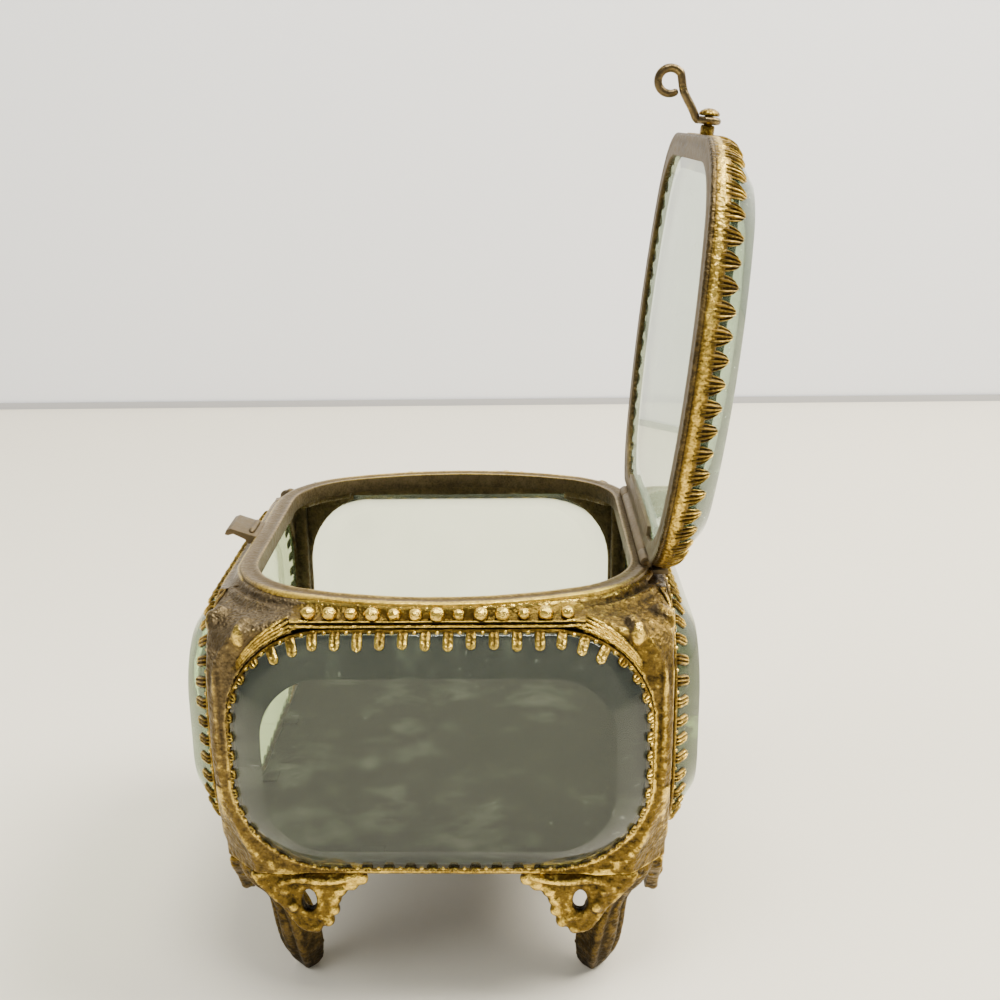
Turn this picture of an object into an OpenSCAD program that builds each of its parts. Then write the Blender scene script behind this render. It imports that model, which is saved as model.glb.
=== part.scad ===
// Glass casket box: cast and stamped gilt frame on four feet, bevelled glass
// held by rows of prongs, hinged lid and a swinging latch hook. Millimetres,
// +Z up, standing on the toes, latch side at -X, hinge at +X.

/* [Frame] */
// half the frame from latch side to hinge side
half_x = 38; // [34:0.5:42]
// half the frame from end to end
half_y = 42; // [38:0.5:48]
// height of the underside of the lower rails
rail_z = 26; // [24:0.5:30]
// thickness of the stamped frame plates
plate_t = 2.2; // [2:0.1:3]
// side of the square corner post
post_w = 4.6; // [4:0.1:5.5]
// how far a corner casting reaches along each side
corner_reach = 22; // [20:0.5:24]
// width of the square top block of a corner casting
block_w = 15; // [13:0.5:16]
// depth of the ledge behind a top rail that the rim stands on (mm)
rail_ledge = 8; // [7:0.1:9]
// height of the top rails above the panes
top_rail_h = 2.6; // [2.4:0.1:3.5]
// radius of the round moulding on the top rails
bead_r = 0.8; // [0.6:0.05:0.9]

/* [Panes] */
// height of the side panes
pane_h = 42; // [38:0.5:46]
// corner radius of the side panes
pane_r = 16; // [12:0.5:17]
// frame left beside each pane
pane_edge = 4; // [3.5:0.1:5]
// thickness of the square edge of a pane
pane_land = 2.6; // [1.6:0.1:3]
// width of the bevel of a pane
bevel = 5.5; // [4:0.1:6]
// rise of the bevel of a pane
bevel_rise = 4.1; // [3:0.1:5]
// room between glass and its seat
glass_gap = 0.02; // [0.01:0.01:0.05]

/* [Prongs] */
// spacing of the prongs on the side panes
prong_pitch = 3.6; // [3:0.1:5]
// spacing of the prongs on the lid
lid_prong_pitch = 3.75; // [3:0.1:5]
// width of one prong
prong_w = 1.9; // [1.2:0.1:2.4]
// thickness of one prong
prong_t = 0.6; // [0.4:0.05:0.8]
// length of the upper prongs along the bevel of a side pane
prong_len = 2.3; // [1:0.1:3]
// length of the bent tip of the other prongs
tip_len = 0.75; // [0.5:0.05:1.2]
// length of the bent tip of the lid prongs
lid_prong_len = 1.1; // [0.6:0.05:2]
// thickness of the gallery strip that carries the prongs
strip_t = 0.5; // [0.4:0.05:0.6]

/* [Rim and lid] */
// gap between the long faces of the case and the rim (mm)
rim_set_x = 2.4; // [2:0.1:3]
// gap between the ends of the case and the middle of the rim (mm)
rim_set_y = 1.4; // [1:0.1:2]
// how far the ends of the rim bow out
bow = 3.2; // [2:0.1:3.2]
// corner radius of the rim
rim_r = 19; // [16:0.5:20]
// width of the rim
rim_w = 3.2; // [3:0.1:4]
// thickness of the rim
rim_t = 1.8; // [1.4:0.1:2.2]
// height of the band round the lid
band_h = 3.2; // [2.9:0.1:3.8]
// thickness of the band round the lid
band_t = 0.65; // [0.5:0.05:0.7]
// width of the flange under the lid glass
flange_w = 4.1; // [3.6:0.1:5]
// thickness of the flange under the lid glass
flange_t = 1; // [0.9:0.1:1.2]
// width of the bevel of the lid glass
lid_bevel = 4.9; // [4:0.1:6]
// rise of the bevel of the lid glass
lid_bevel_rise = 3.5; // [2.5:0.1:4]
// gap between rim and closed lid
lid_gap = 0.3; // [0.2:0.05:0.5]

/* [Hinge] */
// lean of the open lid past upright, degrees
lean = 6.4; // [2:0.1:9]
// radius of the hinge knuckles
knuckle_r = 1; // [0.9:0.05:1.1]
// radius of the hinge pin
pin_r = 0.5; // [0.4:0.05:0.6]
// running clearance round the pin
pin_fit = 0.06; // [0.03:0.01:0.1]
// half the length of the hinge
hinge_half = 22.5; // [18:0.5:24]
// half the length of the middle knuckle
knuckle_half = 17.3; // [12:0.1:18]
// width of the hinge leaf on the lid
leaf_w = 5; // [4:0.1:5.5]
// thickness of the hinge leaves
leaf_t = 0.78; // [0.6:0.02:0.8]

/* [Latch] */
// distance of the hook pivot from the middle, towards the right end
hook_y = 7.3; // [7.2:0.1:7.5]
// thickness of the hook wire
wire_d = 1.4; // [1:0.1:1.4]
// radius of the curl of the hook
curl_r = 2; // [1.7:0.1:2.1]
// width of the catch tab
tab_w = 9; // [6:0.1:9]
// radius of the hook rivet
rivet_r = 0.75; // [0.6:0.05:0.8]

/* [Feet] */
// thickness of the pierced wings
wing_t = 2.2; // [1.8:0.1:2.6]
// half the width of the spade-shaped toe
toe_half = 3.5; // [3:0.1:4]
// half the thickness of the leg
leg_half = 1.7; // [1.4:0.1:2.2]

/* [Base] */
// thickness of the base frame
base_t = 1.2; // [1:0.1:1.6]
// width of the base frame
base_w = 4.5; // [4:0.1:6]
// thickness of the base glass
base_glass_t = 2; // [1.6:0.1:3]

/* [Hidden] */
pane_z0 = rail_z + 2;
pane_z1 = pane_z0 + pane_h;
pane_zc = (pane_z0 + pane_z1) / 2;
end_w = 2 * (half_x - pane_edge);
side_w = 2 * (half_y - pane_edge);
seat_n = -1.4;
land_n = seat_n + pane_land;
face_n = land_n + bevel_rise;
slope = atan2(bevel_rise, bevel);
deck_z = pane_z1 + top_rail_h;
rim_z = deck_z + rim_t;
shelf_t = 1.2;
// the feet are drawn for a rail height of 26 and scaled to the real one
foot_k = rail_z / 26;
toe_n = toe_half / foot_k;
leg_n = leg_half / foot_k;
corner_shelf_t = 2.6;
shelf_in = 2.2;
rim_half_x = half_x - rim_set_x;
rim_half_y = half_y - rim_set_y;
cc_x = rim_half_x - rim_r;
cc_y = rim_half_y - rim_r - bow;
bow_a = cc_y - rim_half_y;
bow_r = (rim_r * rim_r - cc_x * cc_x - bow_a * bow_a) / (2 * (bow_a + rim_r));
bow_c = rim_half_y - bow_r;
bow_ang = atan2(cc_x, cc_y - bow_c);
hinge_x = rim_half_x - 0.8;
lid_z = rim_z + lid_gap;
hinge_z = lid_z;
open_angle = 90 + lean;
lid_in = band_t + 0.05 + strip_t;
lid_land_n = flange_t + 3.6;
lid_top_n = lid_land_n + lid_bevel_rise;
lid_slope = atan2(lid_bevel_rise, lid_bevel);
lid_top_in = lid_in + glass_gap + lid_bevel;
lid_top_u = hinge_x + rim_half_x - lid_top_in;
reach_right = hinge_x + lid_top_u * sin(lean) + lid_top_n * cos(lean);
reach_left = half_x + face_n;
origin_x = -(reach_right - reach_left) / 2;
bead_n = -0.55;
bead_z = deck_z + 0.3;
gold = "#b8923a";
bronze = "#7c6530";
brown = "#756b54";
glass = "#aab39c";

function arc(cx, cy, r, a0, a1, k) =
  [for (i = [0 : k]) [cx + r * cos(a0 + (a1 - a0) * i / k), cy + r * sin(a0 + (a1 - a0) * i / k)]];
function rounded(w, h, r, d) = concat(
  arc(w / 2 - r, h / 2 - r, r + d, 0, 90, 9),
  arc(r - w / 2, h / 2 - r, r + d, 90, 180, 9),
  arc(r - w / 2, r - h / 2, r + d, 180, 270, 9),
  arc(w / 2 - r, r - h / 2, r + d, 270, 360, 9));
function outline(d) = concat(
  arc(cc_x, cc_y, rim_r - d, 0, 90 - bow_ang, 8),
  arc(0, bow_c, bow_r - d, 90 - bow_ang * 0.84, 90 + bow_ang * 0.84, 10),
  arc(-cc_x, cc_y, rim_r - d, 90 + bow_ang, 180, 8),
  arc(-cc_x, -cc_y, rim_r - d, 180, 270 - bow_ang, 8),
  arc(0, -bow_c, bow_r - d, 270 - bow_ang * 0.84, 270 + bow_ang * 0.84, 10),
  arc(cc_x, -cc_y, rim_r - d, 270 + bow_ang, 360, 8));

module outline_ring(d0, d1, z0, z1) {
  translate([0, 0, z0])
    linear_extrude(z1 - z0)
      difference() {
        polygon(outline(d0));
        polygon(outline(d1));
      }
}

// local frame of one side: x along the side, y up, z outward
module on_side(turn, dist) {
  rotate([0, 0, turn])
    translate([0, -dist, 0])
      rotate([90, 0, 0])
        children();
}

module pane_cut(w) {
  translate([0, pane_zc, seat_n])
    linear_extrude(10)
      polygon(rounded(w, pane_h, pane_r, strip_t + 2 * glass_gap));
  translate([0, pane_zc, -8])
    linear_extrude(18)
      polygon(rounded(w, pane_h, pane_r, -1.2));
}

module shelf(x0, x1, y0, y1) {
  translate([0, 0, deck_z - corner_shelf_t])
    linear_extrude(corner_shelf_t)
      difference() {
        translate([x0, y0])
          square([x1 - x0, y1 - y0]);
        polygon(outline(shelf_in));
      }
}

// x along the side, half length h, dist from the middle to the outer face
module beaded_rail(turn, dist, h, w, bead0, bead1) {
  difference() {
    union() {
      on_side(turn, dist)
        translate([-h, pane_z1 - 3, -plate_t])
          cube([2 * h, top_rail_h + 3, plate_t]);
      rotate([0, 0, turn])
        translate([-h, -dist, deck_z - shelf_t])
          cube([2 * h, rail_ledge, shelf_t]);
      if (bead1 > bead0)
        on_side(turn, dist)
          translate([bead0, bead_z, bead_n])
            rotate([0, 90, 0])
              cylinder(h = bead1 - bead0, r = bead_r, $fn = 24);
      if (bead1 > bead0)
        on_side(turn, dist)
          translate([-bead1, bead_z, bead_n])
            rotate([0, 90, 0])
              cylinder(h = bead1 - bead0, r = bead_r, $fn = 24);
    }
    on_side(turn, dist)
      pane_cut(w);
    translate([0, 0, deck_z - 6])
      linear_extrude(8)
        polygon(outline(shelf_in));
  }
}

module lower_rail(turn, dist, h, w) {
  difference() {
    on_side(turn, dist)
      translate([-h, rail_z, -plate_t])
        cube([2 * h, 5, plate_t]);
    on_side(turn, dist)
      pane_cut(w);
  }
}

module across_corner() {
  translate([half_x, half_y, 0])
    rotate([0, 0, 225])
      children();
}

module corner_casting() {
  difference() {
    union() {
      translate([half_x - plate_t, half_y - corner_reach, rail_z])
        cube([plate_t, corner_reach, pane_z1 - rail_z]);
      translate([half_x - corner_reach, half_y - plate_t, rail_z])
        cube([corner_reach, plate_t, pane_z1 - rail_z]);
      translate([half_x - post_w, half_y - post_w, rail_z])
        cube([post_w, post_w, deck_z - rail_z]);
      translate([half_x - plate_t, half_y - block_w, pane_z1 - 3])
        cube([plate_t, block_w, top_rail_h + 3]);
      translate([half_x - block_w, half_y - plate_t, pane_z1 - 3])
        cube([block_w, plate_t, top_rail_h + 3]);
      shelf(half_x - block_w, half_x, half_y - block_w, half_y);
    }
    translate([half_x - corner_reach - 1, half_y - plate_t - 6, pane_z1 - 3])
      cube([corner_reach - block_w + 1, plate_t + 7, top_rail_h + 4]);
    translate([half_x - plate_t - 6, half_y - corner_reach - 1, pane_z1 - 3])
      cube([plate_t + 7, corner_reach - block_w + 1, top_rail_h + 4]);
    on_side(180, half_y)
      pane_cut(end_w);
    on_side(90, half_x)
      pane_cut(side_w);
    across_corner()
      rotate([90, 0, 0])
        linear_extrude(30, center = true)
          polygon([[-4, rail_z - 1], [4.6, rail_z - 1], [4.5, rail_z], [4.0, rail_z + 3],
            [3.0, rail_z + 7], [2.0, rail_z + 11], [1.2, rail_z + 15], [0.8, rail_z + 19],
            [0.6, rail_z + 24], [0.7, deck_z - 15], [1.1, deck_z - 9.5], [1.9, deck_z - 6],
            [3.2, deck_z - 3.6], [5.2, deck_z - 2.2], [8.6, deck_z - 1], [12.6, deck_z + 0.05],
            [12.6, deck_z + 1], [-4, deck_z + 1]]);
    for (m = [0, 1])
      mirror([m, -m, 0])
        translate([(m ? half_y : half_x) - block_w - 1, 0, 0])
          rotate([90, 0, 90])
            linear_extrude(block_w + 2)
              polygon([[(m ? half_x : half_y) + 0.1, deck_z - 2.3], [(m ? half_x : half_y) + 0.1, deck_z + 0.1],
                [(m ? half_x : half_y) - 2.6, deck_z + 0.1], [(m ? half_x : half_y) - 1.2, deck_z - 0.8]]);
  }
}

module wing() {
  linear_extrude(wing_t)
    difference() {
      polygon(foot_k * [[5, 26], [24.2, 26], [24.8, 24.4], [22.8, 23.1],
        [20.6, 22.4], [18.9, 20.6], [18.7, 17.6], [17, 15.2],
        [14.4, 14.2], [12.6, 15.4], [10.2, 19], [6, 23.6]]);
      polygon(foot_k * [for (i = [0 : 11]) [14.9 + 1.25 * cos(i * 30), 20.6 + 2.2 * sin(i * 30)]]);
    }
}

module foot() {
  intersection() {
    across_corner()
      rotate([90, 0, 0])
        linear_extrude(12 * foot_k, center = true)
          polygon(foot_k * [[4.6, 26], [5.4, 23.6], [8.4, 20], [10.6, 17],
            [12.2, 12], [13.2, 7], [14.2, 3], [15, 0.8],
            [15.6, 0], [17.8, 0], [18.6, 1.6], [18.2, 7],
            [17, 13], [15.6, 17], [13.8, 21], [11.6, 24],
            [10, 26]]);
    across_corner()
      rotate([90, 0, 90])
        linear_extrude(30 * foot_k)
          polygon(foot_k * [[-leg_n, 26], [-leg_n, 19], [-2.6, 16], [-toe_n, 11],
            [-toe_n, 5.5], [-2.7, 2], [-1.7, 0], [1.7, 0], [2.7, 2], [toe_n, 5.5],
            [toe_n, 11], [2.6, 16], [leg_n, 19], [leg_n, 26]]);
  }
  // wing along the end
  translate([half_x, half_y - 0.4, 0])
    mirror([1, 0, 0])
      rotate([90, 0, 0])
        wing();
  // wing along the side
  translate([half_x - 0.4 - wing_t, half_y, 0])
    rotate([90, 0, 90])
      mirror([1, 0, 0])
        wing();
}

// prong that stands along the square edge of the glass and is bent over its bevel;
// the bevel starts at the origin, outward normal of the edge = +x, up = +z
module prong(len, lean_in, foot_len) {
  translate([glass_gap, -prong_w / 2, -foot_len])
    cube([strip_t - 0.06, prong_w, foot_len + 0.3]);
  rotate([0, lean_in - 180, 0])
    translate([-0.1, -prong_w / 2, -glass_gap * 1.5 - prong_t])
      cube([len + 0.1, prong_w, prong_t]);
}

module prong_arc(cx, cy, r, a0, a1, k) {
  for (i = [0 : k - 1])
    translate([cx, cy, 0])
      rotate([0, 0, a0 + (a1 - a0) * (i + 0.5) / k])
        translate([r, 0, 0])
          children();
}

module gallery(turn, dist, w) {
  flat_w = w - 2 * pane_r;
  flat_h = pane_h - 2 * pane_r;
  kw = round(flat_w / prong_pitch);
  kh = round(flat_h / prong_pitch);
  kc = round(pane_r * 1.5708 / prong_pitch);
  // on the long faces the prongs beside the posts are as long as the upper ones
  post_len = dist == half_x ? prong_len : tip_len;
  long_from = dist == half_x ? -0.75 : 0.75;
  color(gold)
    on_side(turn, dist)
      translate([0, pane_zc, 0]) {
        translate([0, 0, seat_n])
          linear_extrude(0.8 - seat_n)
            difference() {
              polygon(rounded(w, pane_h, pane_r, strip_t + glass_gap));
              polygon(rounded(w, pane_h, pane_r, glass_gap));
            }
        translate([0, 0, land_n]) {
          for (s = [-1, 1])
            for (i = [0 : kw - 1])
              translate([flat_w * ((i + 0.5) / kw - 0.5), s * pane_h / 2, 0])
                rotate([0, 0, 90 * s])
                  prong(s > 0 ? prong_len : tip_len, slope, land_n - 0.6);
          for (s = [-1, 1])
            for (i = [0 : kh - 1])
              translate([s * w / 2, flat_h * ((i + 0.5) / kh - 0.5), 0])
                rotate([0, 0, s > 0 ? 0 : 180])
                  prong(post_len, slope, land_n - 0.6);
          for (q = [0 : 3])
            for (i = [0 : kc - 1])
              translate([(q == 0 || q == 3 ? 1 : -1) * flat_w / 2, (q < 2 ? 1 : -1) * flat_h / 2, 0])
                rotate([0, 0, 90 * (q + (i + 0.5) / kc)])
                  translate([pane_r, 0, 0])
                    prong(sin(90 * (q + (i + 0.5) / kc)) > long_from ? prong_len : tip_len, slope,
                      land_n - 0.6);
        }
      }
}

module pane(turn, dist, w) {
  color(glass)
    on_side(turn, dist)
      translate([0, pane_zc, 0])
        hull() {
          translate([0, 0, seat_n])
            linear_extrude(pane_land)
              polygon(rounded(w, pane_h, pane_r, 0));
          translate([0, 0, face_n - 0.01])
            linear_extrude(0.01)
              polygon(rounded(w, pane_h, pane_r, -bevel));
        }
}

// the open pose of anything drawn in the closed pose of the lid
module lid_open() {
  translate([hinge_x, 0, hinge_z])
    rotate([0, open_angle, 0])
      translate([-hinge_x, 0, -hinge_z])
        children();
}

// local frame of the hook: x = away from the hinge (u), y = height (n), at the hook plane
module hook_plane() {
  translate([hinge_x, -hook_y, lid_z])
    rotate([0, 0, 180])
      rotate([90, 0, 0])
        children();
}

module top_rim() {
  color(brown)
    difference() {
      outline_ring(0, rim_w, deck_z, rim_z);
      translate([hinge_x, 0, hinge_z])
        rotate([90, 0, 0])
          cylinder(h = 2 * hinge_half + 0.6, r = knuckle_r + 0.15, center = true, $fn = 32);
    }
}

module beaded_rail_front() {
  color(gold)
    beaded_rail(270, half_x, half_y - block_w, side_w, 0, 0);
}

module beaded_rail_back() {
  color(gold)
    beaded_rail(90, half_x, half_y - block_w, side_w, 0, 0);
}

module beaded_rail_right() {
  color(gold)
    beaded_rail(0, half_y, half_x - block_w, end_w, 0, half_x - block_w);
}

module beaded_rail_left() {
  color(gold)
    beaded_rail(180, half_y, half_x - block_w, end_w, 0, half_x - block_w);
}

module lower_rail_front() {
  color(gold)
    lower_rail(270, half_x, half_y - corner_reach, side_w);
}

module lower_rail_back() {
  color(gold)
    lower_rail(90, half_x, half_y - corner_reach, side_w);
}

module lower_rail_right() {
  color(gold)
    lower_rail(0, half_y, half_x - corner_reach, end_w);
}

module lower_rail_left() {
  color(gold)
    lower_rail(180, half_y, half_x - corner_reach, end_w);
}

module at_corner(back, left) {
  mirror([back ? 0 : 1, 0, 0])
    mirror([0, left ? 0 : 1, 0])
      children();
}

module base_outline(hx, hy) {
  cut = half_x + half_y - 2 * post_w - 0.1;
  polygon([[hx, cut - hx], [cut - hy, hy], [hy - cut, hy], [-hx, cut - hx],
    [-hx, hx - cut], [hy - cut, -hy], [cut - hy, -hy], [hx, hx - cut]]);
}

module base_frame() {
  color(bronze)
    translate([0, 0, rail_z])
      linear_extrude(base_t)
        difference() {
          base_outline(half_x - plate_t, half_y - plate_t);
          square([2 * (half_x - plate_t - base_w), 2 * (half_y - plate_t - base_w)], center = true);
        }
}

module glass_base() {
  color(glass)
    translate([0, 0, rail_z + base_t])
      linear_extrude(base_glass_t)
        base_outline(half_x - plate_t - 0.05, half_y - plate_t - 0.05);
}

module base_clips() {
  color(bronze)
    for (turn = [0 : 3])
      for (s = [-1, 1])
        rotate([0, 0, turn * 90])
          translate([s * 12 - 2, -((turn % 2 == 0 ? half_y : half_x) - plate_t), rail_z + base_t + base_glass_t])
            cube([4, 3.2, 0.5]);
}

module hinge_leaf_body() {
  strip_z = deck_z;
  color(brown)
    difference() {
      union() {
        translate([rim_half_x + 0.05, -hinge_half, strip_z])
          cube([3, 2 * hinge_half, leaf_t]);
        for (s = [-1, 1])
          translate([0, s * (hinge_half + knuckle_half + 0.1) / 2, 0]) {
            translate([hinge_x, 0, hinge_z])
              rotate([90, 0, 0])
                cylinder(h = hinge_half - knuckle_half - 0.1, r = knuckle_r, center = true, $fn = 32);
            rotate([90, 0, 0])
              linear_extrude(hinge_half - knuckle_half - 0.1, center = true)
                polygon([[hinge_x + 0.3, hinge_z], [hinge_x + 0.9, hinge_z - 0.4],
                  [hinge_x + 0.9, strip_z + leaf_t + 0.08], [hinge_x + 1.7, strip_z + leaf_t - 0.2],
                  [hinge_x + 1.7, strip_z + 0.1], [rim_half_x + 0.05, strip_z + 0.1],
                  [rim_half_x + 0.05, hinge_z - 0.6], [hinge_x + 0.3, hinge_z - 0.85]]);
          }
      }
      translate([hinge_x, 0, hinge_z])
        rotate([90, 0, 0])
          cylinder(h = 2 * hinge_half + 1, r = pin_r, center = true, $fn = 32);
    }
}

module hinge_pin() {
  color(brown)
    translate([hinge_x, 0, hinge_z])
      rotate([90, 0, 0])
        cylinder(h = 2 * hinge_half + 0.4, r = pin_r, center = true, $fn = 32);
}

module catch_tab() {
  color(brown)
    mirror([1, 0, 0])
      translate([0, tab_w / 2, 0])
        rotate([90, 0, 0])
          linear_extrude(tab_w)
            polygon([[rim_half_x + 0.03, deck_z], [rim_half_x + 0.03, deck_z + 1.4], [rim_half_x + 1, deck_z + 1.7],
              [half_x + 2.4, deck_z + 3], [half_x + 3.3, deck_z + 2.7], [half_x + 3.7, deck_z + 1.8],
              [half_x + 3, deck_z + 1.6], [half_x + 2.1, deck_z + 1.9], [half_x - 0.1, deck_z + 0.8],
              [half_x - 0.6, deck_z]]);
}

module lid_frame() {
  color(bronze)
    lid_open()
      difference() {
        union() {
          outline_ring(0, flange_w, lid_z, lid_z + flange_t);
          outline_ring(0, band_t, lid_z + 0.4, lid_z + band_h);
        }
        translate([hinge_x, 0, hinge_z])
          rotate([90, 0, 0])
            cylinder(h = 2 * half_y, r = knuckle_r + 0.3, center = true, $fn = 32);
        translate([hinge_x - 0.2, -half_y, lid_z - 1])
          cube([4, 2 * half_y, 2.05]);
        translate([hinge_x - leaf_w - 0.05, -knuckle_half - 0.05, lid_z - 1])
          cube([leaf_w + 1, 2 * knuckle_half + 0.1, leaf_t + 1.02]);
      }
}

module lid_gallery() {
  straight = 2 * cc_y;
  k_s = round(straight / lid_prong_pitch);
  k_b = round((bow_r - lid_in) * 2 * bow_ang * PI / 180 / lid_prong_pitch);
  k_c = round((rim_r - lid_in) * (90 - bow_ang) * PI / 180 / lid_prong_pitch);
  edge_in = lid_in + glass_gap;
  color(gold)
    lid_open()
      difference() {
        union() {
          outline_ring(band_t + 0.02, lid_in, lid_z + flange_t, lid_z + band_h);
          translate([0, 0, lid_z + lid_land_n]) {
            for (s = [-1, 1])
              for (i = [0 : k_s - 1])
                translate([s * (rim_half_x - edge_in), straight * ((i + 0.5) / k_s - 0.5), 0])
                  rotate([0, 0, s > 0 ? 0 : 180])
                    prong(lid_prong_len, lid_slope, lid_land_n - band_h + 0.1);
            for (s = [-1, 1])
              prong_arc(0, s * bow_c, bow_r - edge_in, s * (90 - bow_ang), s * (90 + bow_ang), k_b)
                prong(lid_prong_len, lid_slope, lid_land_n - band_h + 0.1);
            for (sx = [-1, 1])
              for (sy = [-1, 1])
                prong_arc(sx * cc_x, sy * cc_y, rim_r - edge_in,
                  sx > 0 ? 0 : 180, sx > 0 ? sy * (90 - bow_ang) : 180 - sy * (90 - bow_ang), k_c)
                  prong(lid_prong_len, lid_slope, lid_land_n - band_h + 0.1);
          }
        }
        translate([hinge_x, 0, hinge_z])
          rotate([90, 0, 0])
            cylinder(h = 2 * half_y, r = knuckle_r + 0.3, center = true, $fn = 32);
      }
}

module glass_lid() {
  color(glass)
    lid_open()
      hull() {
        translate([0, 0, lid_z + flange_t])
          linear_extrude(lid_land_n - flange_t)
            polygon(outline(lid_in + glass_gap));
        translate([0, 0, lid_z + lid_top_n - 0.01])
          linear_extrude(0.01)
            polygon(outline(lid_top_in));
      }
}

module hinge_leaf_lid() {
  color(brown)
    lid_open()
      difference() {
        union() {
          translate([hinge_x, 0, hinge_z])
            rotate([90, 0, 0])
              cylinder(h = 2 * knuckle_half, r = knuckle_r, center = true, $fn = 32);
          translate([hinge_x - leaf_w, -knuckle_half, lid_z])
            cube([leaf_w, 2 * knuckle_half, leaf_t]);
        }
        translate([hinge_x, 0, hinge_z])
          rotate([90, 0, 0])
            cylinder(h = 2 * knuckle_half + 1, r = pin_r + pin_fit, center = true, $fn = 32);
      }
}

eye_u = hinge_x + rim_half_x + 2.3;
eye_n = 1.9;
eye_minor = 0.62;
eye_major = rivet_r + 0.08 + eye_minor;
head_r = 1.4;

module hook_rivet() {
  color(gold)
    lid_open()
      hook_plane()
        translate([0, eye_n, 0])
          rotate([0, 90, 0]) {
            translate([0, 0, eye_u - 2.3])
              cylinder(h = 3.2, r = rivet_r, $fn = 24);
            translate([0, 0, eye_u - 2.3])
              cylinder(h = 1.6, r = 1.2, $fn = 24);
            translate([0, 0, eye_u + 0.75])
              intersection() {
                translate([0, 0, 1.25 - head_r * 1.25])
                  sphere(r = head_r * 1.25, $fn = 24);
                cylinder(h = 2, r = head_r, $fn = 24);
              }
          }
}

// middle line of the hook: out of the eye, down in a slant, then most of a turn
hook_cu = eye_u + 5.6;
hook_cn = eye_n - 7.15;
hook_a0 = 55;
hook_line = concat(
  [[eye_u - 0.1, eye_n - eye_major - 0.3], [eye_u + 0.35, eye_n - 2.22], [eye_u + 1.1, eye_n - 2.62],
    [eye_u + 2.2, eye_n - 3.35], [eye_u + 3.3, eye_n - 4.15], [eye_u + 4.5, eye_n - 4.85]],
  [for (i = [0 : 18]) let (a = hook_a0 - 15 * i)
    [hook_cu + curl_r * cos(a), hook_cn + curl_r * sin(a)]]);
wire_sides = 12;

// direction of the hook's middle line at one of its points
function heading(i) =
  let (a = hook_line[max(i - 1, 0)], b = hook_line[min(i + 1, len(hook_line) - 1)])
  atan2(b[1] - a[1], b[0] - a[0]);

// round wire swept along the hook's middle line
module hook_wire() {
  n = len(hook_line);
  k = wire_sides;
  points = [for (i = [0 : n - 1], j = [0 : k - 1])
    let (h = heading(i) + 90, c = wire_d / 2 * cos(360 * j / k), s = wire_d / 2 * sin(360 * j / k))
    [hook_line[i][0] + c * cos(h), hook_line[i][1] + c * sin(h), s]];
  sides = [for (i = [0 : n - 2], j = [0 : k - 1], t = [0 : 1])
    let (a = i * k + j, b = i * k + (j + 1) % k)
    t == 0 ? [a, b + k, b] : [a, a + k, b + k]];
  near_end = [for (j = [0 : k - 1]) j];
  far_end = [for (j = [0 : k - 1]) n * k - 1 - j];
  polyhedron(points = points, faces = concat([near_end], sides, [far_end]), convexity = 6);
}

module latch_hook() {
  color(brown)
    lid_open()
      hook_plane() {
        translate([eye_u, eye_n, 0])
          rotate([0, 90, 0])
            rotate_extrude($fn = 32)
              translate([eye_major, 0])
                rotate(22.5)
                  circle(r = eye_minor, $fn = 8);
        hook_wire();
      }
}

translate([origin_x, 0, 0]) {
  top_rim();
  beaded_rail_front();
  beaded_rail_back();
  beaded_rail_right();
  beaded_rail_left();
  lower_rail_front();
  lower_rail_back();
  lower_rail_right();
  lower_rail_left();
  color(bronze) at_corner(false, false) corner_casting();  // corner_front_right
  color(bronze) at_corner(false, true) corner_casting();  // corner_front_left
  color(bronze) at_corner(true, false) corner_casting();  // corner_back_right
  color(bronze) at_corner(true, true) corner_casting();  // corner_back_left
  color(bronze) at_corner(false, false) foot();  // foot_front_right
  color(bronze) at_corner(false, true) foot();  // foot_front_left
  color(bronze) at_corner(true, false) foot();  // foot_back_right
  color(bronze) at_corner(true, true) foot();  // foot_back_left
  gallery(270, half_x, side_w);  // gallery_front
  gallery(90, half_x, side_w);  // gallery_back
  gallery(0, half_y, end_w);  // gallery_right
  gallery(180, half_y, end_w);  // gallery_left
  pane(270, half_x, side_w);  // glass_front
  pane(90, half_x, side_w);  // glass_back
  pane(0, half_y, end_w);  // glass_right
  pane(180, half_y, end_w);  // glass_left
  base_frame();
  glass_base();
  base_clips();
  hinge_leaf_body();
  hinge_pin();
  catch_tab();
  lid_frame();
  lid_gallery();
  glass_lid();
  hinge_leaf_lid();
  hook_rivet();
  latch_hook();
}
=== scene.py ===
import itertools
import math

import bmesh
import bpy
import numpy as np
from bpy.props import FloatProperty, FloatVectorProperty, IntProperty, PointerProperty
from mathutils import Matrix, Vector


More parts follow.
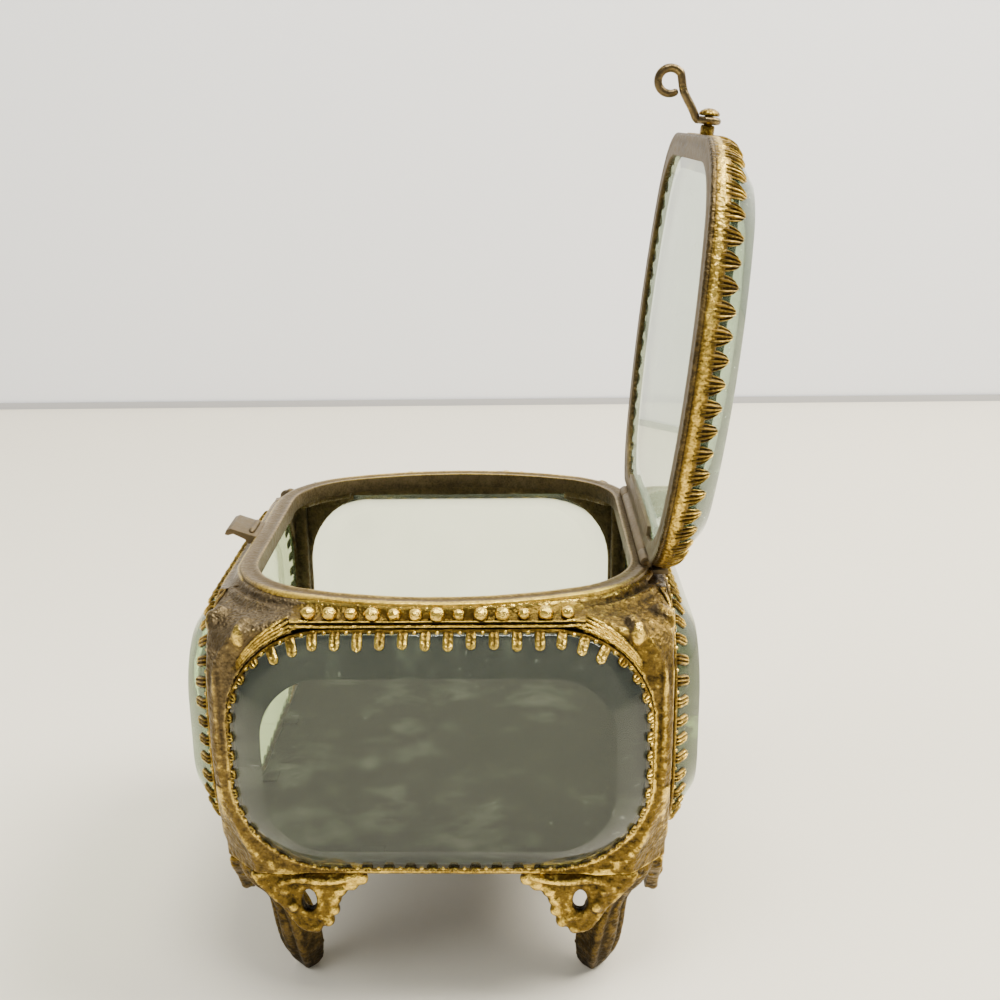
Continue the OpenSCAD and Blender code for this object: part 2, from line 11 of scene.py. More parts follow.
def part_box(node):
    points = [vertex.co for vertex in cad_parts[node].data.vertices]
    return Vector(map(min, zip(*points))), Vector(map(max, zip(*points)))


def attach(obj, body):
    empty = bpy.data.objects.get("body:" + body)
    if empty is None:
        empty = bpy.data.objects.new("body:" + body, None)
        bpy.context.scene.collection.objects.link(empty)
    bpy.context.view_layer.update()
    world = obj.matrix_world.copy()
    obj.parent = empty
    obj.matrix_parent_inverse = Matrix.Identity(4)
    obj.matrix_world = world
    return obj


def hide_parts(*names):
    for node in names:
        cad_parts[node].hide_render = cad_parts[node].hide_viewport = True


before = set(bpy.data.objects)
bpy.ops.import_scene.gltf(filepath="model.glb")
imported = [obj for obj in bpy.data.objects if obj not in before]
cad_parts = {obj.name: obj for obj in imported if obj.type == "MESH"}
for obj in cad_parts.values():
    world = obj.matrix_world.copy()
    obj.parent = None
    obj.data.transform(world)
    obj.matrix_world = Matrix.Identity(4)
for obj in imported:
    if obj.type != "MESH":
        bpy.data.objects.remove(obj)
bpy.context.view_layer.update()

bl_info = {
    "name": "Glass casket box",
    "version": (1, 0, 0),
    "blender": (4, 5, 0),
    "location": "3D View > Sidebar > Casket",
    "description": "Dresses the packed casket: cast corners, feet, beads, prongs, glass and hook",
    "category": "Object",
}

# ---------------------------------------------------------------- sizes, mm
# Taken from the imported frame, so that every dressed piece sits on its solid.


def box_mm(node):
    """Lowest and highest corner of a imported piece, in millimetres."""
    lo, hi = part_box(node)
    return np.array(lo) * 1000.0, np.array(hi) * 1000.0


RIM_LO, RIM_HI = box_mm("top_rim")
CASE_LO, CASE_HI = box_mm("corner_front_right")
BACK_HI = box_mm("corner_back_left")[1]
PANE_LO, PANE_HI = box_mm("glass_right")
FRONT_LO, FRONT_HI = box_mm("glass_front")

# case: half sizes over the castings, underside of the lower rails, top of the castings
MID_X = (RIM_LO[0] + RIM_HI[0]) / 2
HALF_X = (BACK_HI[0] - CASE_LO[0]) / 2
HALF_Y = (BACK_HI[1] - CASE_LO[1]) / 2
RAIL_Z = CASE_LO[2]
DECK_Z = CASE_HI[2]

# rim: round corners, joined at both ends by a shallow bow
RIM_Z = RIM_HI[2]
RIM_HALF_X = (RIM_HI[0] - RIM_LO[0]) / 2
RIM_HALF_Y = (RIM_HI[1] - RIM_LO[1]) / 2
RIM_R = 19.0
BOW_DEPTH = 3.2
RIM_CX = RIM_HALF_X - RIM_R
RIM_CY = RIM_HALF_Y - RIM_R - BOW_DEPTH

# side panes: outward places are counted from the case's face
PANE_Z0, PANE_Z1 = PANE_LO[2], PANE_HI[2]
PANE_ZC = (PANE_Z0 + PANE_Z1) / 2
PANE_H = PANE_Z1 - PANE_Z0
PANE_R = 16.0
END_W = PANE_HI[0] - PANE_LO[0]
SIDE_W = FRONT_HI[1] - FRONT_LO[1]
FACE_N = -PANE_LO[1] - HALF_Y
SEAT_N = -1.4
LAND_N = 1.2
BEVEL = 5.5
BEVEL_TURN = math.atan2(FACE_N - LAND_N, BEVEL)
PRONG_PITCH = 3.6
# the rails tuck a little way into the posts and between the feet
POST_REACH, POST_TUCK = 15.0, 0.5
FOOT_REACH, FOOT_TUCK = 22.0, 0.3

# lid: heights are counted from its underside, and insets from the rim's outline
LID_Z = RIM_Z + 0.3
HINGE_X = RIM_HALF_X - 0.8
LEAN = 6.4
BAND = 3.2
LID_EDGE = 1.22
LID_SEAT = 1.0
LID_LAND = 4.6
LID_TOP = 8.1
LID_BEVEL = 4.9
LID_TURN = math.atan2(LID_TOP - LID_LAND, LID_BEVEL)
LID_PRONG_PITCH = 3.75
KNUCKLE_HALF = 22.8
RIM_PIN_GAP, LID_PIN_GAP = 1.16, 1.34

# each side: turn from the right end in degrees, distance of its face, width of its pane
SIDES = {
    "front": (270, HALF_X, SIDE_W),
    "back": (90, HALF_X, SIDE_W),
    "right": (0, HALF_Y, END_W),
    "left": (180, HALF_Y, END_W),
}
ENDS = ("right", "left")
CORNERS = {
    "front_right": (-1, -1),
    "front_left": (-1, 1),
    "back_right": (1, -1),
    "back_left": (1, 1),
}


class CasketSizes(bpy.types.PropertyGroup):
    """Sizes of the dressed pieces."""

    bead_radius: FloatProperty(name="Bead radius", description="Radius of the beads on the top rails",
                               default=0.00118, min=0.0006, max=0.0014, unit="LENGTH")
    bead_pitch: FloatProperty(name="Bead spacing", description="Distance from bead to bead",
                              default=0.00345, min=0.0026, max=0.006, unit="LENGTH")
    claw_width: FloatProperty(name="Prong width", description="Width of a prong of the side panes",
                              default=0.0019, min=0.001, max=0.0026, unit="LENGTH")
    claw_rise: FloatProperty(name="Prong rise", description="How far a prong stands off the glass",
                             default=0.00055, min=0.0003, max=0.001, unit="LENGTH")
    cast_grain: FloatProperty(name="Cast grain", description="Cell size of the cast surfaces",
                              default=0.00034, min=0.0002, max=0.001, unit="LENGTH")
    glass_segments: IntProperty(name="Glass segments", description="Steps round each pane corner",
                                default=24, min=8, max=64)


class CasketColours(bpy.types.PropertyGroup):
    """Colours of the finishes."""

    bright_gold: FloatVectorProperty(name="Bright gold", description="Rubbed high spots of the gilding",
                                     subtype="COLOR", default=(0.88, 0.61, 0.115), min=0, max=1)
    deep_gold: FloatVectorProperty(name="Deep gold", description="Body colour of the gilding",
                                   subtype="COLOR", default=(0.175, 0.108, 0.018), min=0, max=1)
    tarnish: FloatVectorProperty(name="Tarnish", description="Dark hollows of the gilding",
                                 subtype="COLOR", default=(0.035, 0.024, 0.009), min=0, max=1)
    worn_brown: FloatVectorProperty(name="Worn brown", description="Bare metal of rim, hinge and hook",
                                    subtype="COLOR", default=(0.125, 0.091, 0.047), min=0, max=1)
    glass_tint: FloatVectorProperty(name="Glass tint", description="Colour of the glass through its length",
                                    subtype="COLOR", default=(0.66, 0.80, 0.48), min=0, max=1)
    # painted shadow: the base glass's dark backing stands in for the shadowed floor seen through it
    base_painted_shadow: FloatVectorProperty(name="Base", description="Dark backing of the base glass, painted shadow of the floor under the box",
                                   subtype="COLOR", default=(0.012, 0.012, 0.009), min=0, max=1)
    floor_pale: FloatVectorProperty(name="Floor", description="Plain studio floor",
                                    subtype="COLOR", default=(0.75, 0.695, 0.555), min=0, max=1)


# ---------------------------------------------------------------- outlines


def arc(cx, cy, r, a0, a1, k):
    """Points of an arc from a0 to a1 degrees, in k steps."""
    a = np.radians(np.linspace(a0, a1, k + 1))
    return np.stack([cx + r * np.cos(a), cy + r * np.sin(a)], axis=1)


def pane_outline(w, h, r, grow, k):
    """Rounded rectangle about the origin, grown outward by grow."""
    x, y = w / 2 - r, h / 2 - r
    return np.concatenate([arc(x, y, r + grow, 0, 90, k), arc(-x, y, r + grow, 90, 180, k),
                           arc(-x, -y, r + grow, 180, 270, k), arc(x, -y, r + grow, 270, 360, k)])


def rim_bow():
    """Radius of the rim's bowed ends, distance of their centre, and the angle where they meet the corners."""
    a = RIM_CY - RIM_HALF_Y
    radius = (RIM_R ** 2 - RIM_CX ** 2 - a ** 2) / (2 * (a + RIM_R))
    centre = RIM_HALF_Y - radius
    return radius, centre, math.degrees(math.atan2(RIM_CX, RIM_CY - centre))


BOW_R, BOW_CY, BOW_TURN = rim_bow()


def rim_outline(inset, k=14):
    """Outline shared by rim and lid, moved inward by inset."""
    bow = BOW_TURN * 0.88
    return np.concatenate([
        arc(RIM_CX, RIM_CY, RIM_R - inset, 0, 90 - BOW_TURN, k),
        arc(0, BOW_CY, BOW_R - inset, 90 - bow, 90 + bow, k),
        arc(-RIM_CX, RIM_CY, RIM_R - inset, 90 + BOW_TURN, 180, k),
        arc(-RIM_CX, -RIM_CY, RIM_R - inset, 180, 270 - BOW_TURN, k),
        arc(0, -BOW_CY, BOW_R - inset, 270 - bow, 270 + bow, k),
        arc(RIM_CX, -RIM_CY, RIM_R - inset, 270 + BOW_TURN, 360, k)])


def rim_edge(x, end):
    """Distance of the rim's outer edge from the middle, at x along an end or along a side."""
    x = np.abs(np.asarray(x, dtype=float))
    if end:
        bow = BOW_CY + np.sqrt(BOW_R ** 2 - x ** 2)
        corner = RIM_CY + np.sqrt(np.clip(RIM_R ** 2 - (x - RIM_CX) ** 2, 0, None))
        return np.where(x < BOW_R * math.sin(math.radians(BOW_TURN)), bow, corner)
    corner = RIM_CX + np.sqrt(np.clip(RIM_R ** 2 - (x - RIM_CY) ** 2, 0, None))
    return np.where(x < RIM_CY, RIM_HALF_X, corner)


# ---------------------------------------------------------------- placing


def on_side(side, height=0.0):
    """Turns local points (along the side, height, outward) into the case's millimetres."""
    turn, dist, _ = SIDES[side]
    t = math.radians(turn)
    c, s = math.cos(t), math.sin(t)

    def place(p):
        x, y = p[:, 0], -(dist + p[:, 2])
        return np.stack([c * x - s * y, s * x + c * y, p[:, 1] + height], axis=1)
    return place


def in_lid(p, height=0.0):
    """Turns points of the shut lid, lifted by height, into the open pose."""
    t = math.radians(90 + LEAN)
    c, s = math.cos(t), math.sin(t)
    x, z = p[:, 0] - HINGE_X, (p[:, 2] + height) - LID_Z
    return np.stack([HINGE_X + c * x + s * z, p[:, 1], LID_Z - s * x + c * z], axis=1)


def on_post(axis, along, away, z):
    """Point of the back left corner: along from its edge on an axis, away inward from its face."""
    if axis == 0:
        return HALF_X - along, HALF_Y - away, z
    return HALF_X - away, HALF_Y - along, z


def clear_of_pin(p, near, radius):
    """Moves the points marked near that lie within a radius of the hinge pin out to that radius."""
    dx, dz = p[:, 0] - HINGE_X, p[:, 2] - LID_Z
    d = np.maximum(np.hypot(dx, dz), 1e-6)
    near = near & (d < radius)
    p[near, 0] = HINGE_X + dx[near] / d[near] * radius
    p[near, 2] = LID_Z + dz[near] / d[near] * radius


def make_object(name, points, faces, body, replaces=(), smooth=32.0, relief=None, wear=None):
    """Makes one piece from millimetre points and lets it ride on its body."""
    pts = np.asarray(points, dtype=float).copy()
    pts[:, 0] += MID_X
    mesh = bpy.data.meshes.new(name)
    mesh.from_pydata((pts * 0.001).tolist(), [], [tuple(f) for f in faces])
    mesh.update()
    bm = bmesh.new()
    bm.from_mesh(mesh)
    bmesh.ops.recalc_face_normals(bm, faces=bm.faces)
    bm.to_mesh(mesh)
    bm.free()
    for p in mesh.polygons:
        p.use_smooth = True
    mesh.set_sharp_from_angle(angle=math.radians(smooth))
    for label, given, plain in (("relief", relief, 0.5), ("wear", wear, 0.0)):
        values = np.full(len(mesh.vertices), plain) if given is None else np.clip(given, 0, 1)
        attr = mesh.attributes.new(label, "FLOAT", "POINT")
        attr.data.foreach_set("value", values.astype(np.float32))
    obj = bpy.data.objects.new(name, mesh)
    bpy.context.scene.collection.objects.link(obj)
    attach(obj, body)
    if replaces:
        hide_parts(*replaces)
    return obj


class Soup:
    """Collects closed shells of points and faces for one piece."""

    def __init__(self):
        self.points, self.faces, self.relief, self.wear, self.count = [], [], [], [], 0

    def add(self, points, faces, relief=0.5, wear=0.0):
        """Adds one shell, with one relief and wear for all its points or one for each."""
        points = np.asarray(points, dtype=float)
        self.points.append(points)
        self.faces.extend([[i + self.count for i in f] for f in faces])
        self.relief.append(np.broadcast_to(relief, (len(points),)))
        self.wear.append(np.broadcast_to(wear, (len(points),)))
        self.count += len(points)

    def make(self, name, body, slot, replaces=(), smooth=32.0):
        """Makes the piece from all the shells."""
        return make_object(name, np.concatenate(self.points), self.faces, body, replaces, smooth,
                           np.concatenate(self.relief), np.concatenate(self.wear))


# ---------------------------------------------------------------- shapes


def rings_to_faces(rings, n, closed=True, cap=False):
    """Quads between rings of n points; closed joins the last ring to the first."""
    faces = []
    last = rings if closed else rings - 1
    for r in range(last):
        a, b = r * n, ((r + 1) % rings) * n
        for i in range(n):
            j = (i + 1) % n
            faces.append([a + i, a + j, b + j, b + i])
    if cap:
        faces.append(list(range(n))[::-1])
        faces.append([(rings - 1) * n + i for i in range(n)])
    return faces


def swept_ring(outline, section, closed=True):
    """Rings of a section of (inset, height): a closed ring, or a slab with flat faces at both ends."""
    loops = [np.column_stack([outline(inset), np.full(len(outline(inset)), z)]) for inset, z in section]
    return np.concatenate(loops), rings_to_faces(len(loops), len(loops[0]), closed, not closed)


def split_profile(profile):
    """Parts rows of (inset, height, value, ...) into a section and a list for each further value."""
    return [row[:2] for row in profile], *(list(column) for column in list(zip(*profile))[2:])


def ball(centre, radius, rows=8, cols=12, squash=(1, 1, 1)):
    """Ball of rows and columns, squashed along each axis."""
    pts, faces = [(0, 0, 1)], []
    for r in range(1, rows):
        a = math.pi * r / rows
        for c in range(cols):
            b = 2 * math.pi * c / cols
            pts.append((math.sin(a) * math.cos(b), math.sin(a) * math.sin(b), math.cos(a)))
    pts.append((0, 0, -1))
    for c in range(cols):
        faces.append([0, 1 + c, 1 + (c + 1) % cols])
        for r in range(rows - 2):
            a, b = 1 + r * cols, 1 + (r + 1) * cols
            faces.append([a + c, b + c, b + (c + 1) % cols, a + (c + 1) % cols])
        a = 1 + (rows - 2) * cols
        faces.append([a + c, len(pts) - 1, a + (c + 1) % cols])
    return np.array(pts) * np.array(squash) * radius + np.array(centre), faces


def tube(path, radii, sides=10):
    """Round tube with domed ends along a path of points."""
    path = np.asarray(path, dtype=float)
    radii = np.broadcast_to(radii, (len(path),)).astype(float)
    tang = np.gradient(path, axis=0)
    tang /= np.linalg.norm(tang, axis=1)[:, None]
    dome = 0.6
    start, end = path[0] - tang[0] * radii[0] * dome, path[-1] + tang[-1] * radii[-1] * dome
    path = np.concatenate([[start], path, [end]])
    tang = np.concatenate([[tang[0]], tang, [tang[-1]]])
    radii = np.concatenate([[radii[0] * dome], radii, [radii[-1] * dome]])
    up = np.array([0.0, 0.0, 1.0])
    if abs(tang[0] @ up) > 0.9:
        up = np.array([0.0, 1.0, 0.0])
    pts = []
    for p, t, r in zip(path, tang, radii):
        side = np.cross(t, up)
        side /= np.linalg.norm(side)
        up = np.cross(side, t)
        for i in range(sides):
            a = 2 * math.pi * i / sides
            pts.append(p + r * (math.cos(a) * side + math.sin(a) * up))
    return np.array(pts), rings_to_faces(len(path), sides, closed=False, cap=True)


def along_tube(places, radii, count):
    """Radius at each of count steps along a tube, from radii at places between 0 and 1."""
    return np.interp(np.linspace(0, 1, count), places, radii)


def curve_points(control, steps):
    """Smooth line through given points."""
    c = np.asarray(control, dtype=float)
    c = np.concatenate([[2 * c[0] - c[1]], c, [2 * c[-1] - c[-2]]])
    line = []
    for i in range(1, len(c) - 2):
        for s in np.linspace(0, 1, steps, endpoint=False):
            p0, p1, p2, p3 = c[i - 1], c[i], c[i + 1], c[i + 2]
            line.append(0.5 * (2 * p1 + (p2 - p0) * s + (2 * p0 - 5 * p1 + 4 * p2 - p3) * s ** 2
                               + (3 * p1 - p0 - 3 * p2 + p3) * s ** 3))
    line.append(c[-2])
    return np.array(line)


def fade(value, start, span):
    """Goes from 0 to 1 as value passes over a span from start."""
    return np.clip((value - start) / span, 0, 1)


def value_noise(p, size, seed):
    """Smooth lattice noise from 0 to 1 at millimetre points."""
    q = p / size + 100.0
    cell = np.floor(q).astype(np.int64)
    f = q - cell
    f = f * f * (3 - 2 * f)
    total = np.zeros(len(p))
    for step in itertools.product((0, 1), repeat=3):
        h = (cell + step) * np.array([73856093, 19349663, 83492791])
        h = h[:, 0] ^ h[:, 1] ^ h[:, 2]
        h = (h ^ (seed * 2654435761)) & 0x7FFFFFFF
        h = ((h * 1103515245 + 12345) & 0x7FFFFFFF) ^ (h >> 13)
        w = np.where(step, f, 1 - f)
        total += (h % 10007) / 10007.0 * (w[:, 0] * w[:, 1] * w[:, 2])
    return total


def blended_noise(p, sizes, seeds, share=0.6):
    """Coarse and fine noise, each with its own size and seed, with the coarse one's share of the whole."""
    return value_noise(p, sizes[0], seeds[0]) * share + value_noise(p, sizes[1], seeds[1]) * (1 - share)


# ---------------------------------------------------------------- casting and rounding


def node_points(node):
    """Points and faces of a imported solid, in the case's millimetres."""
    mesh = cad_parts[node].data
    pts = np.empty(len(mesh.vertices) * 3)
    mesh.vertices.foreach_get("co", pts)
    pts = pts.reshape(-1, 3) * 1000.0
    pts[:, 0] -= MID_X
    return pts, [list(p.vertices) for p in mesh.polygons]


def cast_together(soup, voxel_mm, smooth_steps):
    """Melts overlapping shells into one cast skin; returns points, faces and normals in millimetres."""
    mesh = bpy.data.meshes.new("melt")
    mesh.from_pydata((np.concatenate(soup.points) * 0.001).tolist(), [], soup.faces)
    bm = bmesh.new()
    bm.from_mesh(mesh)
    bmesh.ops.remove_doubles(bm, verts=bm.verts, dist=1e-7)
    bmesh.ops.recalc_face_normals(bm, faces=bm.faces)
    bm.to_mesh(mesh)
    bm.free()
    obj = bpy.data.objects.new("melt", mesh)
    bpy.context.scene.collection.objects.link(obj)
    melt = obj.modifiers.new("melt", "REMESH")
    melt.mode = "VOXEL"
    melt.voxel_size = voxel_mm * 0.001
    soften = obj.modifiers.new("soften", "SMOOTH")
    soften.factor = 0.5
    soften.iterations = smooth_steps
    deps = bpy.context.evaluated_depsgraph_get()
    deps.update()
    skin = bpy.data.meshes.new_from_object(obj.evaluated_get(deps))
    n = len(skin.vertices)
    pts, normals = np.empty(n * 3), np.empty(n * 3)
    skin.vertices.foreach_get("co", pts)
    skin.vertices.foreach_get("normal", normals)
    faces = [list(p.vertices) for p in skin.polygons]
    bpy.data.objects.remove(obj)
    bpy.data.meshes.remove(mesh)
    bpy.data.meshes.remove(skin)
    return pts.reshape(-1, 3) * 1000.0, faces, normals.reshape(-1, 3)


def standing_out(points, faces, normals, rounds=7):
    """How far each point of a cast skin stands out of, or lies below, the skin around it, in millimetres."""
    pairs = np.array([(f[i], f[(i + 1) % len(f)]) for f in faces for i in range(len(f))])
    share = np.maximum(np.bincount(pairs[:, 0], minlength=len(points)), 1)[:, None]
    even = points.copy()
    for _ in range(rounds):
        near = [np.bincount(pairs[:, 0], even[pairs[:, 1], k], len(points)) for k in range(3)]
        near = np.stack(near, axis=1)
        even = 0.5 * even + 0.5 * near / share
    return np.sum((points - even) * normals, axis=1)


def rounded_copy(node, body, width_mm):
    """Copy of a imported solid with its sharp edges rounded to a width, standing for it."""
    pts, faces = node_points(node)
    mesh = bpy.data.meshes.new(node + "_raw")
    mesh.from_pydata((pts * 0.001).tolist(), [], faces)
    bm = bmesh.new()
    bm.from_mesh(mesh)
    bmesh.ops.remove_doubles(bm, verts=bm.verts, dist=2e-7)
    bmesh.ops.dissolve_limit(bm, angle_limit=math.radians(0.6), verts=bm.verts, edges=bm.edges)
    sharp = [e for e in bm.edges if len(e.link_faces) == 2 and e.calc_face_angle(0) > math.radians(28)]
    bmesh.ops.bevel(bm, geom=sharp, offset=width_mm * 0.001, segments=2, profile=0.6, affect="EDGES",
                    clamp_overlap=True)
    bmesh.ops.triangulate(bm, faces=[f for f in bm.faces if len(f.verts) > 4])
    bm.to_mesh(mesh)
    bm.free()
    co = np.empty(len(mesh.vertices) * 3)
    mesh.vertices.foreach_get("co", co)
    faces = [list(p.vertices) for p in mesh.polygons]
    bpy.data.meshes.remove(mesh)
    return make_object(node + "_dressed", co.reshape(-1, 3) * 1000.0, faces, body, (node,), 40.0)


# ---------------------------------------------------------------- finishes


def scaled(colour, k):
    """Colour times k."""
    return tuple(k * v for v in colour)


def mixed(first, second, k, m):
    """First colour times k plus second colour times m."""
    return tuple(k * v + m * w for v, w in zip(first, second))


def new_material(name):
    """Empty material: itself, its node tree, its shader, its output and the coordinates of its patterns."""
    mat = bpy.data.materials.new(name)
    mat.use_nodes = True
    tree = mat.node_tree
    tree.nodes.clear()
    output = tree.nodes.new("ShaderNodeOutputMaterial")
    shader = tree.nodes.new("ShaderNodeBsdfPrincipled")
    tree.links.new(shader.outputs[0], output.inputs[0])
    coord = tree.nodes.new("ShaderNodeTexCoord").outputs["Object"]
    return mat, tree, shader, output, coord


def point_value(tree, name):
    """Value that a piece's points carry, such as relief or wear."""
    n = tree.nodes.new("ShaderNodeAttribute")
    n.attribute_name = name
    return n.outputs["Fac"]


def noise_node(tree, coord, scale, detail=3.0, rough=0.55, stretch=None):
    """Cloudy pattern from 0 to 1."""
    if stretch:
        m = tree.nodes.new("ShaderNodeMapping")
        m.inputs["Scale"].default_value = stretch
        tree.links.new(coord, m.inputs[0])
        coord = m.outputs[0]
    n = tree.nodes.new("ShaderNodeTexNoise")
    n.inputs["Scale"].default_value = scale
    n.inputs["Detail"].default_value = detail
    n.inputs["Roughness"].default_value = rough
    tree.links.new(coord, n.inputs["Vector"])
    return n.outputs["Fac"]


def math_node(tree, kind, a, b, c=None, clamp=False):
    """One sum on numbers or sockets."""
    m = tree.nodes.new("ShaderNodeMath")
    m.operation = kind
    m.use_clamp = clamp
    for i, v in enumerate((a, b, c)):
        if v is None:
            continue
        if isinstance(v, (int, float)):
            m.inputs[i].default_value = v
        else:
            tree.links.new(v, m.inputs[i])
    return m.outputs[0]


def weighed_node(tree, start, *parts):
    """Starting number plus each socket times its weight, held between 0 and 1."""
    total = start
    for i, (value, weight) in enumerate(parts):
        total = math_node(tree, "MULTIPLY_ADD", value, weight, total, clamp=i == len(parts) - 1)
    return total


def ramp_node(tree, fac, stops):
    """Colour that runs through stops of (place, colour)."""
    r = tree.nodes.new("ShaderNodeValToRGB")
    e = r.color_ramp.elements
    e[0].position, e[0].color = stops[0][0], (*stops[0][1], 1)
    e[1].position, e[1].color = stops[-1][0], (*stops[-1][1], 1)
    for pos, col in stops[1:-1]:
        n = e.new(pos)
        n.color = (*col, 1)
    tree.links.new(fac, r.inputs[0])
    return r.outputs[0]


def range_node(tree, v, a, b, lo, hi):
    """Turns the span from a to b into the span from lo to hi."""
    m = tree.nodes.new("ShaderNodeMapRange")
    for i, x in enumerate((a, b, lo, hi)):
        m.inputs[i + 1].default_value = x
    tree.links.new(v, m.inputs[0])
    return m.outputs[0]


def mix_node(tree, fac, a, b):
    """Colour a turning into colour b; b may be a plain colour."""
    mix = tree.nodes.new("ShaderNodeMix")
    mix.data_type = "RGBA"
    tree.links.new(fac, mix.inputs["Factor"])
    tree.links.new(a, mix.inputs["A"])
    if isinstance(b, tuple):
        mix.inputs["B"].default_value = (*b, 1)
    else:
        tree.links.new(b, mix.inputs["B"])
    return mix.outputs["Result"]


def bump_node(tree, height, strength, distance, under=None):
    """Fine relief of the surface, laid over another bump where one is given."""
    b = tree.nodes.new("ShaderNodeBump")
    b.inputs["Strength"].default_value = strength
    b.inputs["Distance"].default_value = distance
    tree.links.new(height, b.inputs["Height"])
    if under is not None:
        tree.links.new(under, b.inputs["Normal"])
    return b.outputs[0]


def gilt_material(name, colours, lift, rough, grain, brown=0.0):
    """Old gilding: bright where rubbed, dark in the hollows, worn to brown metal where handled."""
    mat, tree, shader, _, coord = new_material(name)
    patches = noise_node(tree, coord, 110, 4, 0.6)
    mottle = noise_node(tree, coord, 700, 4, 0.65)
    specks = noise_node(tree, coord, 2600, 2, 0.5)
    fac = weighed_node(tree, lift - 0.66, (point_value(tree, "relief"), 1.05), (patches, 0.38),
                       (mottle, 0.46), (specks, 0.46))
    tarnish, deep, bright = tuple(colours.tarnish), tuple(colours.deep_gold), tuple(colours.bright_gold)
    gold = ramp_node(tree, fac, [(0.16, tarnish), (0.34, mixed(tarnish, deep, 0.45, 0.55)), (0.55, deep),
                                 (0.84, bright)])
    b = tuple(colours.worn_brown)
    bare = ramp_node(tree, fac, [(0.05, scaled(b, 0.45)), (0.4, b), (0.7, scaled(b, 1.25)),
                                 (0.92, mixed(b, bright, 0.6, 0.4))])
    handled = math_node(tree, "ADD", point_value(tree, "wear"), brown)
    worn = weighed_node(tree, -0.82, (handled, 1.3), (mottle, 0.35), (patches, 0.5))
    tree.links.new(mix_node(tree, worn, gold, bare), shader.inputs["Base Color"])
    tree.links.new(range_node(tree, fac, 0.2, 0.8, rough[1], rough[0]), shader.inputs["Roughness"])
    shader.inputs["Metallic"].default_value = 1.0
    pits = tree.nodes.new("ShaderNodeTexVoronoi")
    pits.inputs["Scale"].default_value = 1500
    tree.links.new(coord, pits.inputs["Vector"])
    n = bump_node(tree, mottle, 0.60 * grain, 0.00035)
    n = bump_node(tree, pits.outputs["Distance"], 0.40 * grain, 0.00018, n)
    n = bump_node(tree, specks, 0.32 * grain, 0.0001, n)
    tree.links.new(n, shader.inputs["Normal"])
    return mat


def brown_material(name, colours, shine=0.45):
    """Bare, handled metal: grey-brown with a few rubbed gold flecks."""
    mat, tree, shader, _, coord = new_material(name)
    patches = noise_node(tree, coord, 130, 4, 0.6)
    mottle = noise_node(tree, coord, 900, 4, 0.6)
    fac = weighed_node(tree, -0.22, (point_value(tree, "relief"), 0.5), (patches, 0.6), (mottle, 0.4))
    b = tuple(colours.worn_brown)
    flecks = mixed(tuple(colours.deep_gold), b, 0.55, 0.45)
    tree.links.new(ramp_node(tree, fac, [(0.18, scaled(b, 0.35)), (0.45, b), (0.66, scaled(b, 1.35)),
                                         (0.85, flecks)]), shader.inputs["Base Color"])
    tree.links.new(range_node(tree, mottle, 0.3, 0.7, shine, shine + 0.2), shader.inputs["Roughness"])
    shader.inputs["Metallic"].default_value = 0.85
    n = bump_node(tree, mottle, 0.35, 0.0002)
    n = bump_node(tree, noise_node(tree, coord, 3200, 2), 0.25, 0.00008, n)
    tree.links.new(n, shader.inputs["Normal"])
    return mat


def glass_material(name, colours, bend, depth, dust, clean, film_and_shade_tint):
    """Old thick glass: green with depth, under a dusty film, and clear as far as clean says. On the back pane
    the film is darkened as painted shade.
    """
    mat, tree, shader, output, coord = new_material(name)
    film = noise_node(tree, coord, 60, 5, 0.65)
    specks = noise_node(tree, coord, 1500, 2, 0.4)
    spots = range_node(tree, specks, 0.66, 0.76, 0.0, 0.55 * dust)
    haze = range_node(tree, film, 0.4, 0.75, 0.015, 0.02 + 0.07 * dust)
    tree.links.new(math_node(tree, "ADD", haze, spots), shader.inputs["Roughness"])
    tree.links.new(ramp_node(tree, film, [(0.25, film_and_shade_tint[0]), (0.8, film_and_shade_tint[1])]),
                   shader.inputs["Base Color"])
    shader.inputs["Transmission Weight"].default_value = clean
    shader.inputs["IOR"].default_value = bend
    vol = tree.nodes.new("ShaderNodeVolumeAbsorption")
    vol.inputs["Color"].default_value = (*colours.glass_tint, 1)
    vol.inputs["Density"].default_value = depth
    tree.links.new(vol.outputs[0], output.inputs["Volume"])
    tree.links.new(bump_node(tree, noise_node(tree, coord, 45, 2), 0.10, 0.0002), shader.inputs["Normal"])
    return mat


def painted_shadow_base_material(name, colours):
    """Base glass over a dark backing that paints the shadowed floor under the box, smudged and flecked with
    dust.
    """
    mat, tree, shader, _, coord = new_material(name)
    clouds = noise_node(tree, coord, 55, 5, 0.62)
    wipes = noise_node(tree, coord, 150, 5, 0.62, (1.0, 1.25, 1.0))
    specks = noise_node(tree, coord, 1100, 2, 0.4)
    fac = math_node(tree, "MULTIPLY_ADD", wipes, 0.5, math_node(tree, "MULTIPLY", clouds, 0.6))
    # b is the painted shadow of the floor under the box; the wipes and clouds lighten it as smudges
    b = tuple(colours.base_painted_shadow)
    smudges = ramp_node(tree, fac, [(0.38, scaled(b, 0.62)), (0.55, b), (0.64, scaled(b, 3.6)),
                                    (0.78, scaled(b, 9.0))])
    dust = (0.16, 0.155, 0.13)
    tree.links.new(mix_node(tree, range_node(tree, specks, 0.68, 0.76, 0.0, 0.8), smudges, dust),
                   shader.inputs["Base Color"])
    tree.links.new(range_node(tree, fac, 0.3, 0.8, 0.42, 0.65), shader.inputs["Roughness"])
    shader.inputs["IOR"].default_value = 1.06
    tree.links.new(bump_node(tree, clouds, 0.15, 0.0003), shader.inputs["Normal"])
    return mat


